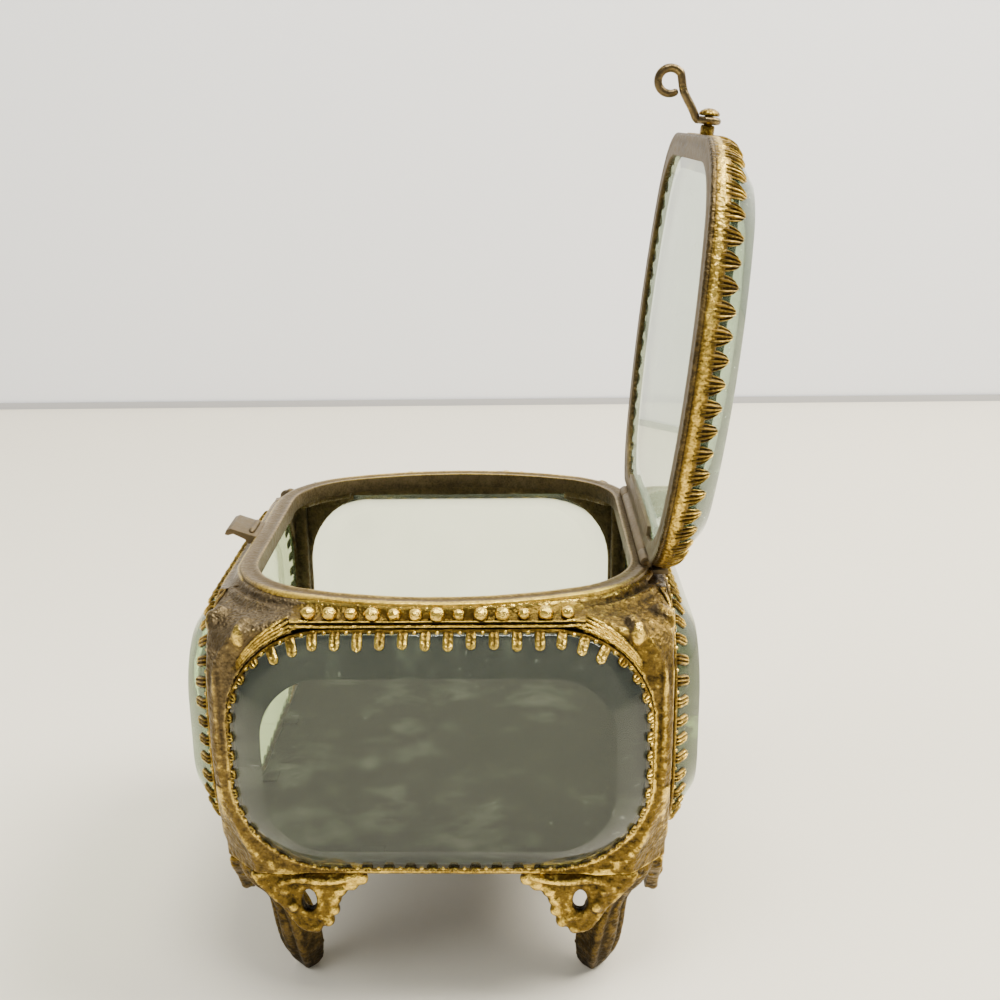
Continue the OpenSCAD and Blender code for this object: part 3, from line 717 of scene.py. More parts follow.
# gildings: name, lift towards bright gold, roughness of bright and dull places, grain, browning
GILDINGS = {
    "gilt": ("old gilding", -0.06, (0.26, 0.52), 1.7, 0.0),
    "bright": ("rubbed gilding", 0.04, (0.22, 0.45), 1.6, 0.0),
    "cast": ("cast gilding", -0.02, (0.25, 0.56), 2.2, 0.0),
    "foot": ("foot gilding", -0.11, (0.27, 0.58), 2.0, 0.0),
    "dull": ("dulled gilding", -0.14, (0.40, 0.66), 0.9, 0.35),
    "teeth": ("lid prong gilding", -0.12, (0.28, 0.55), 1.2, 0.22),
    "rim": ("rim metal", -0.02, (0.36, 0.6), 0.8, 0.0),
    "wire": ("wire metal", -0.06, (0.24, 0.42), 0.8, 0.95),
    "band": ("grained band gilding", -0.10, (0.27, 0.50), 2.4, 0.0),
}
# glasses: name, bend of light, darkening with depth, dust, clearness, film in thin and in thick places; the
# back pane's darker film and deeper darkening are painted shade
GLASSES = {
    "glass": ("thick glass", 1.32, 12.0, 0.3, 0.985, ((0.90, 0.96, 0.86), (0.80, 0.87, 0.76))),
    "clear": ("clear glass", 1.30, 16.0, 0.15, 0.87, ((0.84, 0.95, 0.66), (0.70, 0.82, 0.52))),
    # back pane: the front's glass with a darker, more olive film and deeper tint, painted shade for the side
    # in shadow
    "painted_shade": ("dull glass", 1.30, 24.0, 0.3, 0.87, ((0.42, 0.48, 0.28), (0.32, 0.37, 0.21))),
    "lid": ("lid glass", 1.30, 12.0, 0.55, 0.87, ((0.66, 0.76, 0.60), (0.55, 0.64, 0.50))),
}
MATERIALS = {}


def make_finishes(colours):
    """Mixes every finish of the casket from its colours."""
    for key, (name, *looks) in GILDINGS.items():
        MATERIALS[key] = gilt_material(name, colours, *looks)
    for key, (name, *looks) in GLASSES.items():
        MATERIALS[key] = glass_material(name, colours, *looks)
    MATERIALS["brown"] = brown_material("handled metal", colours)
    MATERIALS["flange"] = brown_material("inner flange metal", colours, shine=0.5)
    MATERIALS["base"] = painted_shadow_base_material("base glass over painted shadow", colours)


def finish(obj, key):
    """Gives a piece its one finish."""
    obj.data.materials.clear()
    obj.data.materials.append(MATERIALS[key])


# ---------------------------------------------------------------- rim and top rails


# half length of the left end's row of beads, which is the shorter one
LEFT_ROW_HALF = 14.0


class CASKET_OT_rim(bpy.types.Operator):
    """Flat stamped rim with soft edges and a thin inner lip"""

    bl_idname = "casket.rim"
    bl_label = "Make rim"

    def execute(self, context):
        z0, z1 = DECK_Z, RIM_Z
        # (inset, height, relief, gilding left at the ends) over the top and down the inner lip
        section, relief, gilding = split_profile((
            (0.05, z0 + 0.02, 0.35, 1.0), (0.0, z0 + 0.6, 0.5, 1.0), (0.0, z1 - 0.55, 0.6, 1.0),
            (0.1, z1 - 0.2, 0.72, 0.95), (0.35, z1 - 0.04, 0.7, 0.85), (0.75, z1, 0.6, 0.7),
            (1.2, z1 - 0.12, 0.45, 0.45), (1.7, z1 - 0.22, 0.4, 0.35), (2.2, z1 - 0.2, 0.45, 0.35),
            (2.6, z1 - 0.06, 0.6, 0.4), (2.9, z1, 0.72, 0.5), (3.1, z1 - 0.06, 0.7, 0.4),
            (3.2, z1 - 0.28, 0.4, 0.0), (3.2, z0 - 1.1, 0.2, 0.0), (2.8, z0 - 1.2, 0.2, 0.0),
            (2.75, z0 + 0.02, 0.2, 0.0)))
        pts, faces = swept_ring(rim_outline, section)
        around = len(pts) // len(section)
        gilding = fade(np.abs(pts[:, 1]), 30.0, 6.0) * np.repeat(gilding, around)
        relief = np.repeat(relief, around) + 0.12 * gilding
        clear_of_pin(pts, (np.abs(pts[:, 1]) < KNUCKLE_HALF) & (pts[:, 0] > 0), RIM_PIN_GAP)
        wobble = blended_noise(pts, (2.6, 1.1), (3, 4)) - 0.5
        pts = pts + 0.10 * wobble[:, None]
        pts[:, 2] = np.minimum(pts[:, 2], RIM_Z)
        obj = make_object("rim", pts, faces, "case", ("top_rim",), 38.0, relief, 1.0 - gilding)
        finish(obj, "rim")
        return {"FINISHED"}


def rail_profile(edge, k, top):
    """Section of a top rail, (height, outward, relief), from the rim down to the pane and back inside."""
    high = top - 0.5 * (1 - k) ** 2
    shelf = DECK_Z - 0.35 - 0.25 * k
    return [(DECK_Z - 0.4, edge - 0.5, 0.2), (high, edge - 0.05, 0.55), (high + 0.05, edge + 0.3, 0.85),
            (high - 0.45, edge + 0.6, 0.5), (shelf + 0.35, 0.55 * edge + 0.1, 0.3),
            (shelf + 0.05, 0.28 * edge - 0.25, 0.4), (shelf - 0.08, -0.30, 0.55),
            (DECK_Z - 0.68, -0.06 - 0.25 * (1 - k), 0.9), (DECK_Z - 0.84, -0.04 - 0.2 * (1 - k), 0.8),
            (DECK_Z - 1.10, -0.22 - 0.25 * k, 0.05), (DECK_Z - 1.26, -0.22 - 0.2 * k, 0.1),
            (DECK_Z - 1.40, -0.16 + 0.26 * k, 0.75), (DECK_Z - 1.70, -0.14 + 0.28 * k, 0.8),
            (DECK_Z - 1.94, -0.2, 0.4), (DECK_Z - 1.98, SEAT_N, 0.2), (PANE_Z1 - 0.9, SEAT_N, 0.2),
            (PANE_Z1 - 0.9, -2.2, 0.2), (DECK_Z - 1.15, -2.2, 0.2), (DECK_Z - 1.15, edge - 2.1, 0.2)]


def add_rail_beads(soup, side, half, radius, pitch, wear):
    """Row of slightly uneven beads along an end's top rail, lighter on top and outward as painted highlight.
    """
    place = on_side(side)
    dist = SIDES[side][1]
    count = int((2 * half - 5.0) // pitch)
    for i in range(count + 1):
        x = (i - count / 2) * pitch
        if side == "left" and abs(x) > LEFT_ROW_HALF:
            continue
        k = 1.0 + 0.10 * math.sin(i * 2.4) - 0.06 * (i % 3 == 1)
        at = (x, DECK_Z + 0.18, -0.46 + 0.26 * (float(rim_edge(x, True)) - dist + 1.4))
        p, f = ball(at, radius * k, 12, 18, (1.03, 0.98, 0.98))
        # painted highlight and shade: each bead is lighter on its top and outward side, darker below and
        # inward
        relief = 0.52 + 0.45 * np.clip((p[:, 1] - at[1]) / 1.2 + (p[:, 2] - at[2]) * 0.5, -0.8, 1)
        bump = value_noise(p, 0.55, 13 + i % 5) - 0.5
        p = p + (p - np.array(at)) * (bump * 0.14)[:, None]
        soup.add(place(p), f, relief, wear)


class CASKET_OT_beaded_rails(bpy.types.Operator):
    """Top rails: moulding that slopes from the rim to the pane, with a row of beads"""

    bl_idname = "casket.beaded_rails"
    bl_label = "Make beaded rails"

    def execute(self, context):
        sizes = context.scene.casket_sizes
        steps = 61
        for side, (_, dist, _) in SIDES.items():
            end = side in ENDS
            half = (HALF_X if end else HALF_Y) - POST_REACH + POST_TUCK
            top = DECK_Z + (0.15 if side == "back" else 1.25)
            xs = np.linspace(-half, half, steps)
            # the moulding dies away towards the corner castings
            rows = [[(x, *point) for point in rail_profile(e, min(1.0, (half - abs(x)) / 3.5), top)]
                    for x, e in zip(xs, rim_edge(xs, end) - dist)]
            points = len(rows[0])
            pts, relief = np.split(np.array(rows).reshape(-1, 4), [3], axis=1)
            wobble = blended_noise(pts, (1.5, 0.6), (11, 12)) - 0.5
            pts[:, 1] += wobble * 0.16
            pts[:, 2] += wobble * 0.10
            worn = 0.25 if end else 0.95
            wear = [1.0 if i >= 13 or i == 0 else worn for i in range(points)]
            soup = Soup()
            soup.add(on_side(side)(pts), rings_to_faces(steps, points, closed=False, cap=True), relief[:, 0],
                     np.tile(wear, steps))
            if end:
                add_rail_beads(soup, side, half, sizes.bead_radius * 1000, sizes.bead_pitch * 1000,
                               worn * 0.4)
            obj = soup.make("beaded_rail_%s_dressed" % side, "case", "gilt", ("beaded_rail_" + side,), 45.0)
            finish(obj, "bright")
        return {"FINISHED"}


# ---------------------------------------------------------------- corner castings
# All four are the back left one, mirrored. The latch end's are worn smoother than the hinge end's.

KNOB_ALONG, KNOB_Z = 6.3, 69.4
DECK_STEPS = 30
# flutes: (radius, angle from upright) round the pane's corner, at the root on the post and at the tip
FLUTES = ((17.35, 57.0, 17.30, 13.5), (17.58, 56.0, 17.92, 13.5), (17.80, 55.0, 18.52, 15.0),
          (18.05, 53.5, 19.12, 18.0))
FLUTE_STEPS, FLUTE_SIDES = 26, 10
# faces of the post: (axis the face looks along, half width of its pane, half size of the case across it)
POST_FACES = ((1, END_W / 2, HALF_X), (0, SIDE_W / 2, HALF_Y))


def deck_moulding(beyond, height, first, last, radii):
    """Round moulding on the slope under the rim's corner, beyond its edge, between two angles."""
    radius = RIM_R + beyond
    ring = [(RIM_CX + radius * math.cos(t), RIM_CY + radius * math.sin(t), DECK_Z + height)
            for t in np.radians(np.linspace(first, last, DECK_STEPS))]
    return tube(ring, radii, 8)


def corner_shells():
    """Shells of a corner casting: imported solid, mouldings and the knobs on both faces."""
    soup = Soup()
    soup.add(*node_points("corner_back_left"))
    soup.add(*deck_moulding(0.1, 0.25, 6, 82, 0.85))
    swelling = along_tube([0, 0.25, 0.75, 1], [0.2, 0.75, 0.75, 0.2], DECK_STEPS)
    soup.add(*deck_moulding(2.3, -0.55, 16, 72, swelling))
    for axis in (0, 1):
        long_way, across = (1.7, 1.75) if axis == 0 else (1.75, 1.7)
        soup.add(*ball(on_post(axis, KNOB_ALONG, 0.85, KNOB_Z), 1.0, 12, 16, (long_way, across, 2.3)))
        soup.add(*ball(on_post(axis, 6.8, 2.0, 71.2), 1.0, 8, 12, (1.3, 1.3, 0.9)))
    return soup


def corner_face(p, normals, axis, half_pane, half_case):
    """Relief of one face of a post: how far it stands out, how it shades, and what gilding is left."""
    along = half_case - p[:, 1 - axis]
    away = (HALF_X, HALF_Y)[axis] - p[:, axis]
    z = p[:, 2]
    face = np.clip(normals[:, axis] * 1.7 - 0.35, 0, 1) * np.clip(2.4 - away, 0, 1)
    knob = face * np.exp(-(((along - KNOB_ALONG) / 1.9) ** 2 + ((z - KNOB_Z + 0.1) / 2.5) ** 2))

    # the hollow ground that the flutes stand on
    u = (half_case - along) - (half_pane - PANE_R)
    upper = z - (PANE_Z1 - PANE_R)
    rho = np.hypot(u, upper)
    swing = np.degrees(np.arctan2(u, upper))
    edge = np.interp(swing, [14, 20, 38, 55], [18.5, 19.4, 18.9, 18.0])
    ground = (upper > 0) * fade(swing, 10, 4) * fade(60 - swing, 0, 4) * (rho > 17.0)
    ground = face * ground * fade(edge + 0.5 - rho, 0, 0.5)

    # raised lines round the pane opening
    lip = np.exp(-((rho - 16.95) / 0.26) ** 2) * (upper > 0)
    side_lip = np.exp(-((np.abs(u - 16.95)) / 0.26) ** 2) * (upper <= 0) * (upper > -12)
    lip = np.maximum(lip, side_lip)
    lower = z - (PANE_Z0 + PANE_R)
    low_rho = np.hypot(u, lower)
    low_lip = np.exp(-((low_rho - 17.0) / 0.30) ** 2) * (lower < 0)
    second = np.exp(-((low_rho - 19.6) / 0.75) ** 2) * (lower < -2)

    # upright ridges on the outer edge of the post
    ridge = np.cos(along * 2 * math.pi / 1.5) * fade(3.2 - along, 0, 1.0)
    ridge = ridge * fade(z, 44, 8) * fade(66 - z, 0, 4)

    raised = face * (0.14 * lip + 0.18 * low_lip + 0.20 * second) + face * 0.08 * ridge
    shade = 0.40 * knob - 0.30 * ground + face * (0.30 * lip + 0.30 * low_lip + 0.16 * second)
    return raised, shade + face * 0.16 * ridge, np.maximum(knob, 0.8 * ground)


def corner_skin(cast, faces, normals, crisp):
    """Cast skin with its relief: points, shading, gilding left, and how far each point faces inside."""
    raised, shade, gilding = np.zeros((3, len(cast)))
    for post_face in POST_FACES:
        face_raised, face_shade, face_gilding = corner_face(cast, normals, *post_face)
        raised += face_raised
        shade += face_shade
        gilding = np.maximum(gilding, face_gilding)
    grain = blended_noise(cast, (0.75, 0.4), (5, 7))
    raised += (0.04 + 0.08 * crisp) * (grain - 0.5) + 0.28 * (value_noise(cast, 2.6, 9) - 0.5)
    outward = np.clip(np.maximum(normals[:, 0], normals[:, 1]) + 0.35 * normals[:, 2], 0, 1)
    raised = np.clip(raised, -0.6, 0.4) * np.clip(0.2 + 1.4 * outward, 0, 1) - 0.12 * (outward > 0.5)
    p = cast + normals * raised[:, None]
    p[:, 0] = np.minimum(p[:, 0], HALF_X + 0.25)
    p[:, 1] = np.minimum(p[:, 1], HALF_Y + 0.9)
    inside = np.clip(-np.minimum(normals[:, 0], normals[:, 1]) * 1.5, 0, 1)
    relief = np.maximum(0.42 + shade + 0.45 * (grain - 0.5) - 0.25 * inside, 0.33)
    relief = relief + np.clip((1.1 + 0.8 * crisp) * standing_out(p, faces, normals), -0.38, 0.38)
    gilding = np.clip(gilding + 0.45 * fade(58 - cast[:, 2], 0, 10), 0, 1)
    return p, relief, gilding, inside


def skin_along(skin, axis, us, vs):
    """Outermost place of a cast skin on an axis at each point of a line, evened out along the line."""
    found = []
    for u, v in zip(us, vs):
        near = np.hypot(skin[:, 1 - axis] - u, skin[:, 2] - v) < 0.5
        found.append(skin[near, axis].max() if near.any() else np.nan)
    found = np.array(found)
    k = np.linspace(0, 1, len(found))
    ok = np.isfinite(found)
    return np.convolve(np.pad(np.interp(k, k[ok], found[ok]), 3, mode="edge"), np.ones(7) / 7, "valid")


def corner_flutes(p, normals, crisp):
    """Flutes fanned over the upper corner of both panes, each a thin rib laid on the cast skin."""
    soup = Soup()
    for axis, half_pane, _ in POST_FACES:
        skin = p[normals[:, axis] > 0.35]
        for root_r, root_turn, tip_r, tip_turn in FLUTES:
            k = np.linspace(0, 1, FLUTE_STEPS)
            swing = np.radians(root_turn + (tip_turn - root_turn) * k)
            rho = root_r + (tip_r - root_r) * k ** 0.8
            u = half_pane - PANE_R + rho * np.sin(swing)
            v = PANE_Z1 - PANE_R + rho * np.cos(swing)
            lies = skin_along(skin, axis, u, v)
            line = np.stack([u, lies - 0.10, v] if axis == 1 else [lies - 0.10, u, v], axis=1)
            radii = along_tube([0, 0.2, 0.8, 1], [0.16, 0.30, 0.38, 0.18], FLUTE_STEPS)
            rib, faces = tube(line, radii * (0.55 + 0.45 * crisp), FLUTE_SIDES)
            rib = rib + (value_noise(rib, 0.5, 15) - 0.5)[:, None] * 0.08
            ground = np.repeat(np.concatenate([[lies[0]], lies, [lies[-1]]]), FLUTE_SIDES)
            soup.add(rib, faces, 0.55 + 0.45 * np.clip((rib[:, axis] - ground) / 0.3, -1, 1))
    return soup


# each end of the box by the sign of its corners: crispness, softening steps, bare metal, what gilding
# takes from it, what the top adds to it, wear of the flutes
CORNER_ENDS = {
    1: (1.0, 2, 0.42, 0.75, 0.0, 0.05),
    -1: (0.62, 6, 0.92, 0.62, 0.10, 0.35),
}


class CASKET_OT_corners(bpy.types.Operator):
    """Cast corners: fanned flutes and a knob in the upper spandrels, smooth swept lower edge"""

    bl_idname = "casket.corners"
    bl_label = "Make corner castings"

    def execute(self, context):
        voxel = context.scene.casket_sizes.cast_grain * 1000
        for end, (crisp, steps, bare, kept, top_bare, flute_wear) in CORNER_ENDS.items():
            cast, faces, normals = cast_together(corner_shells(), voxel, steps)
            p, relief, gilding, inside = corner_skin(cast, faces, normals, crisp)
            flutes = corner_flutes(p, normals, crisp)
            z = cast[:, 2]
            wear = bare - gilding * kept + 0.9 * inside
            wear += top_bare * fade(z, 60, 5) - 0.15 * fade(50 - z, 0, 8) * (1 - inside)
            for name, (sx, sy) in CORNERS.items():
                if sx != end:
                    continue
                mirror = np.array([sx, sy, 1.0])
                soup = Soup()
                soup.add(p * mirror, faces, relief, wear)
                soup.add(np.concatenate(flutes.points) * mirror, flutes.faces, np.concatenate(flutes.relief),
                         flute_wear)
                obj = soup.make("corner_%s_dressed" % name, "case", "tarnished", ("corner_" + name,), 60.0)
                finish(obj, "cast")
        return {"FINISHED"}


# ---------------------------------------------------------------- feet
# Modelled as the back left one. Beads are (along, height, radius); a rib is (inward on both axes, height).

WING_EDGE = ((24.0, 24.6, 1.15), (22.2, 23.6, 1.25), (20.2, 22.4, 1.3), (19.2, 20.6, 1.25),
             (19.0, 18.6, 1.15), (17.8, 16.4, 1.25), (15.8, 15.0, 1.2), (13.6, 15.6, 1.1))
WING_BEADS = ((21.6, 25.0, 0.95), (18.9, 24.9, 0.8), (12.2, 19.6, 1.25), (11.0, 22.6, 1.05),
              (16.6, 17.3, 0.85))
WING_VINE = ((22.8, 0.5, 25.2), (19.4, 0.3, 24.5), (17.0, 0.3, 24.6), (13.0, 0.4, 25.0), (9.6, 0.9, 23.4),
             (9.4, 2.0, 20.4))
LEG_RIB = ((5.6, 25.6), (6.9, 22.5), (9.4, 19.4), (11.4, 16.0), (12.6, 11.5), (13.5, 7.0), (14.6, 3.4),
           (15.9, 1.2))
SIDE_RIB_FROM = 2
SIDE_RIB_SPREAD = (1.5, 2.0, 2.5, 2.9, 2.6, 1.4)


def foot_shells():
    """Shells of a foot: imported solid, leafy edge, ring, vine and beads of both wings, the leg's ribs."""
    soup = Soup()
    soup.add(*node_points("foot_back_left"))
    for axis in (0, 1):
        for along, z, radius in WING_EDGE:
            soup.add(*ball(on_post(axis, along, 1.2, z), radius))
        ring = [on_post(axis, 14.9 + 2.15 * math.cos(t), 0.75, 20.6 + 3.1 * math.sin(t))
                for t in np.linspace(0, 2 * math.pi, 25)]
        soup.add(*tube(ring, 0.62, 8))
        vine = curve_points([on_post(axis, *point) for point in WING_VINE], 6)
        soup.add(*tube(vine, np.linspace(0.7, 0.95, len(vine)), 8))
        for along, z, radius in WING_BEADS:
            soup.add(*ball(on_post(axis, along, 0.75, z), radius))
    rib = [(s / math.sqrt(2), z) for s, z in LEG_RIB]
    line = curve_points([(HALF_X - d, HALF_Y - d, z) for d, z in rib], 6)
    soup.add(*tube(line, along_tube([0, 0.35, 0.7, 1], [1.25, 1.15, 1.5, 1.0], len(line))))
    for way in (-1, 1):
        k = way / math.sqrt(2)
        side = [(HALF_X - d + k * w, HALF_Y - d - k * w, z)
                for (d, z), w in zip(rib[SIDE_RIB_FROM:], SIDE_RIB_SPREAD)]
        soup.add(*tube(curve_points(side, 6), 0.8, 8))
    return soup


class CASKET_OT_feet(bpy.types.Operator):
    """Scrolled feet: pierced leafy wings, ribbed leg and spade toe"""

    bl_idname = "casket.feet"
    bl_label = "Make feet"

    def execute(self, context):
        voxel = context.scene.casket_sizes.cast_grain * 1000 * 0.9
        p, faces, normals = cast_together(foot_shells(), voxel, 3)
        p[:, 2] = np.clip(p[:, 2], 0.0, RAIL_Z)
        grain = blended_noise(p, (0.8, 0.45), (15, 17))
        keep = fade(p[:, 2], 0, 1.5) * fade(RAIL_Z - p[:, 2], 0, 0.6)
        raised = (0.10 * (grain - 0.5) + 0.20 * (value_noise(p, 2.4, 19) - 0.5)) * keep
        p = p + normals * raised[:, None]
        p[:, 2] = np.clip(p[:, 2], 0.0, RAIL_Z)
        z = p[:, 2]
        a, b = HALF_X - p[:, 0], HALF_Y - p[:, 1]
        front = np.clip(np.maximum(normals[:, 0], normals[:, 1]), 0, 1)
        tip = fade(np.maximum(a, b), 15.0, 6.0) * fade(z, 13, 4)
        relief = 0.34 + 0.26 * front * fade(1.2 - np.minimum(a, b), 0, 1.4) + 0.4 * (grain - 0.5)
        relief += 0.30 * tip * front - 0.12 * fade(10 - z, 0, 8)
        relief += np.clip(1.9 * standing_out(p, faces, normals), -0.42, 0.42)
        wear = fade(17.0 - z, 0, 8.0) * 0.38 + 0.18
        for name, (sx, sy) in CORNERS.items():
            obj = make_object("foot_%s_dressed" % name, p * np.array([sx, sy, 1.0]), faces, "case",
                              ("foot_" + name,), 60.0, relief, wear)
            finish(obj, "foot")
        return {"FINISHED"}


# ---------------------------------------------------------------- prongs and galleries


def claw(path, widths, rise, ribs, seed):
    """Bent prong: path of (inset, height) up the edge of the glass and over its bevel, with ribs along it."""
    path = curve_points([(a, b, 0.0) for a, b in path], 4)[:, :2]
    t = np.concatenate([[0.0], np.cumsum(np.linalg.norm(np.diff(path, axis=0), axis=1))])
    t /= t[-1]
    tang = np.gradient(path, axis=0)
    tang /= np.linalg.norm(tang, axis=1)[:, None]
    off = np.stack([-tang[:, 1], tang[:, 0]], axis=1)
    cols = 10 + 10 * ribs
    sway = 0.12 * math.sin(seed * 12.9898)
    pts, relief = [], []
    for c, o, s in zip(path, off, t):
        half = np.interp(s, [0, 0.35, 0.7, 0.85, 0.95, 1.0], widths)
        swell = rise * (0.85 + 0.35 * s) * (1.0 if s < 0.9 else 0.72)
        for i in range(cols):
            a = 2 * math.pi * i / cols
            y = math.cos(a)
            if ribs == 1:
                shape = 1.0 - 0.34 * math.exp(-(y / 0.28) ** 2) * (s < 0.9)
            else:
                shape = 0.66 + 0.36 * math.cos(ribs * math.pi * y)
            z = swell * shape * max(0.0, math.sin(a)) ** 0.6
            pts.append((c[0] + o[0] * z, y * half + sway * s * half, c[1] + o[1] * z))
            # the underside lying on the glass gets relief -0.4: painted shade, dark where it shows through
            # the glass
            relief.append(0.02 + 0.86 * shape * (0.62 + 0.38 * s) if math.sin(a) > 0.1 else -0.4)
    return np.array(pts), rings_to_faces(len(path), cols, closed=False, cap=True), np.array(relief)


def set_claws(soup, sites, make, place):
    """Sets a prong made by make(number, outward angle) at each (x, y, outward angle) site."""
    for i, (x, y, turn) in enumerate(sites):
        p, f, relief = make(i, turn)
        c, s = math.cos(turn), math.sin(turn)
        q = np.stack([x - c * p[:, 0] - s * p[:, 1], y - s * p[:, 0] + c * p[:, 1], p[:, 2]], axis=1)
        soup.add(place(q), f, relief)


def straight_sites(x, y, length, turn, pitch, start=0.5):
    """Even places along one straight side through (x, y), facing turn: (x, y, outward angle)."""
    count = round(length / pitch)
    along = [length * ((i + start) / count - 0.5) for i in range(count)]
    if abs(math.sin(turn)) > 0.5:
        return [(x + a, y, turn) for a in along]
    return [(x, y + a, turn) for a in along]


def pane_sites(width, start):
    """Places round a pane for prongs, or for the studs between them: (x, y, outward angle)."""
    half_w, half_h = width / 2 - PANE_R, PANE_H / 2 - PANE_R
    sites = []
    for s in (1, -1):
        sites += straight_sites(0.0, s * PANE_H / 2, 2 * half_w, s * math.pi / 2, PRONG_PITCH, start)
        sites += straight_sites(s * width / 2, 0.0, 2 * half_h, 0 if s > 0 else math.pi, PRONG_PITCH, start)
    count = round(PANE_R * math.pi / 2 / PRONG_PITCH)
    for q, (sx, sy) in enumerate(((1, 1), (-1, 1), (-1, -1), (1, -1))):
        for i in range(count):
            a = math.radians(90 * (q + (i + start) / count))
            sites.append((sx * half_w + PANE_R * math.cos(a), sy * half_h + PANE_R * math.sin(a), a))
    return sites


def pane_claw(end, half_width, rise):
    """Maker of a pane's prongs: long ones above, on the long faces also beside it, short ones elsewhere."""
    c, s = math.cos(BEVEL_TURN), math.sin(BEVEL_TURN)
    long_widths = (0.85, 0.88, 0.88, 0.84, 0.62, 0.22) if end else (1.0, 1.05, 1.05, 1.0, 0.8, 0.4)
    short_widths = (1.0, 1.05, 1.0, 0.9, 0.62, 0.25)

    def make(i, turn):
        is_long = math.sin(turn) > (0.72 if end else -0.75)
        reach = (2.35 if is_long else 0.62) * (1.0 + 0.08 * math.sin(i * 1.7))
        path = [(-0.06, 0.2), (-0.05, LAND_N - 0.25), (0.05, LAND_N + 0.06)]
        shares = (0.5, 1.0) if is_long else (1.0,)
        path += [(0.12 + c * reach * k, LAND_N + 0.1 + s * reach * k) for k in shares]
        widths = [w * half_width for w in (long_widths if is_long else short_widths)]
        return claw(path, widths, rise, 1 if is_long and end else 3, i)
    return make


class CASKET_OT_galleries(bpy.types.Operator):
    """Strips round the side panes with a prong every few millimetres"""

    bl_idname = "casket.galleries"
    bl_label = "Make pane galleries"

    def execute(self, context):
        sizes = context.scene.casket_sizes
        # (growth, outward, relief) of the strip, from its seat over its rolled edge
        section, relief = split_profile((
            (0.04, SEAT_N, 0.1), (0.50, SEAT_N, 0.1), (0.52, 0.25, 0.2), (0.70, 0.45, 0.5),
            (0.66, 0.72, 0.62), (0.36, 0.84, 0.55), (0.04, 0.6, 0.3)))
        for side, (_, _, width) in SIDES.items():
            place = on_side(side, PANE_ZC)
            soup = Soup()
            pts, faces = swept_ring(lambda grow, w=width: pane_outline(w, PANE_H, PANE_R, grow, 14), section)
            soup.add(place(pts), faces, np.repeat(relief, len(pts) // len(section)))
            make = pane_claw(side in ENDS, sizes.claw_width * 500, sizes.claw_rise * 1000)
            set_claws(soup, pane_sites(width, 0.5), make, place)
            for x, y, turn in pane_sites(width, 0.0):
                p, f = ball((x + 0.25 * math.cos(turn), y + 0.25 * math.sin(turn), 0.72), 0.40, 6, 8)
                soup.add(place(p), f, 0.85)
            obj = soup.make("gallery_%s_dressed" % side, "case", "gilt", ("gallery_" + side,), 50.0)
            finish(obj, "gilt")
        return {"FINISHED"}


# ---------------------------------------------------------------- glass


class CASKET_OT_glass(bpy.types.Operator):
    """Bevelled panes of the case and the lid, and the base glass"""

    bl_idname = "casket.glass"
    bl_label = "Make glass"

    def execute(self, context):
        segments = context.scene.casket_sizes.glass_segments
        section = [(0.12, SEAT_N), (0.0, SEAT_N + 0.12), (0.0, LAND_N - 0.1), (0.12, LAND_N + 0.06),
                   (BEVEL - 0.30, FACE_N - 0.30 * math.tan(BEVEL_TURN)), (BEVEL + 0.15, FACE_N)]
        for side, (_, _, width) in SIDES.items():
            p, f = swept_ring(lambda inset, w=width: pane_outline(w, PANE_H, PANE_R, -inset, segments),
                              section, closed=False)
            obj = make_object("pane_" + side, on_side(side, PANE_ZC)(p), f, "case",
                              ("glass_" + side,), 22.0)
            # the back pane takes the glass with painted shade
            finish(obj, {"front": "clear", "back": "painted_shade"}.get(side, "glass"))
        section = [(LID_EDGE + 0.12, LID_SEAT), (LID_EDGE, LID_SEAT + 0.12), (LID_EDGE, LID_LAND - 0.1),
                   (LID_EDGE + 0.12, LID_LAND + 0.06), (LID_EDGE + LID_BEVEL - 0.1, LID_TOP - 0.08),
                   (LID_EDGE + LID_BEVEL + 0.08, LID_TOP)]
        p, f = swept_ring(lambda inset: rim_outline(inset, 20), section, closed=False)
        obj = make_object("lid_glass", in_lid(p, LID_Z), f, "lid", ("glass_lid",), 22.0)
        finish(obj, "lid")
        # the base glass takes the dark backing that paints the shadowed floor under the box
        finish(rounded_copy("glass_base", "case", 0.2), "base")
        return {"FINISHED"}


# ---------------------------------------------------------------- lid


def clear_hinge(p):
    """Copy of lid points moved out of the space that the knuckles turn in."""
    q = p.copy()
    back = q[:, 0] > HINGE_X - 0.2
    q[back, 2] = np.maximum(q[back, 2], LID_Z + 1.06)
    clear_of_pin(q, np.full(len(q), True), LID_PIN_GAP)
    return q


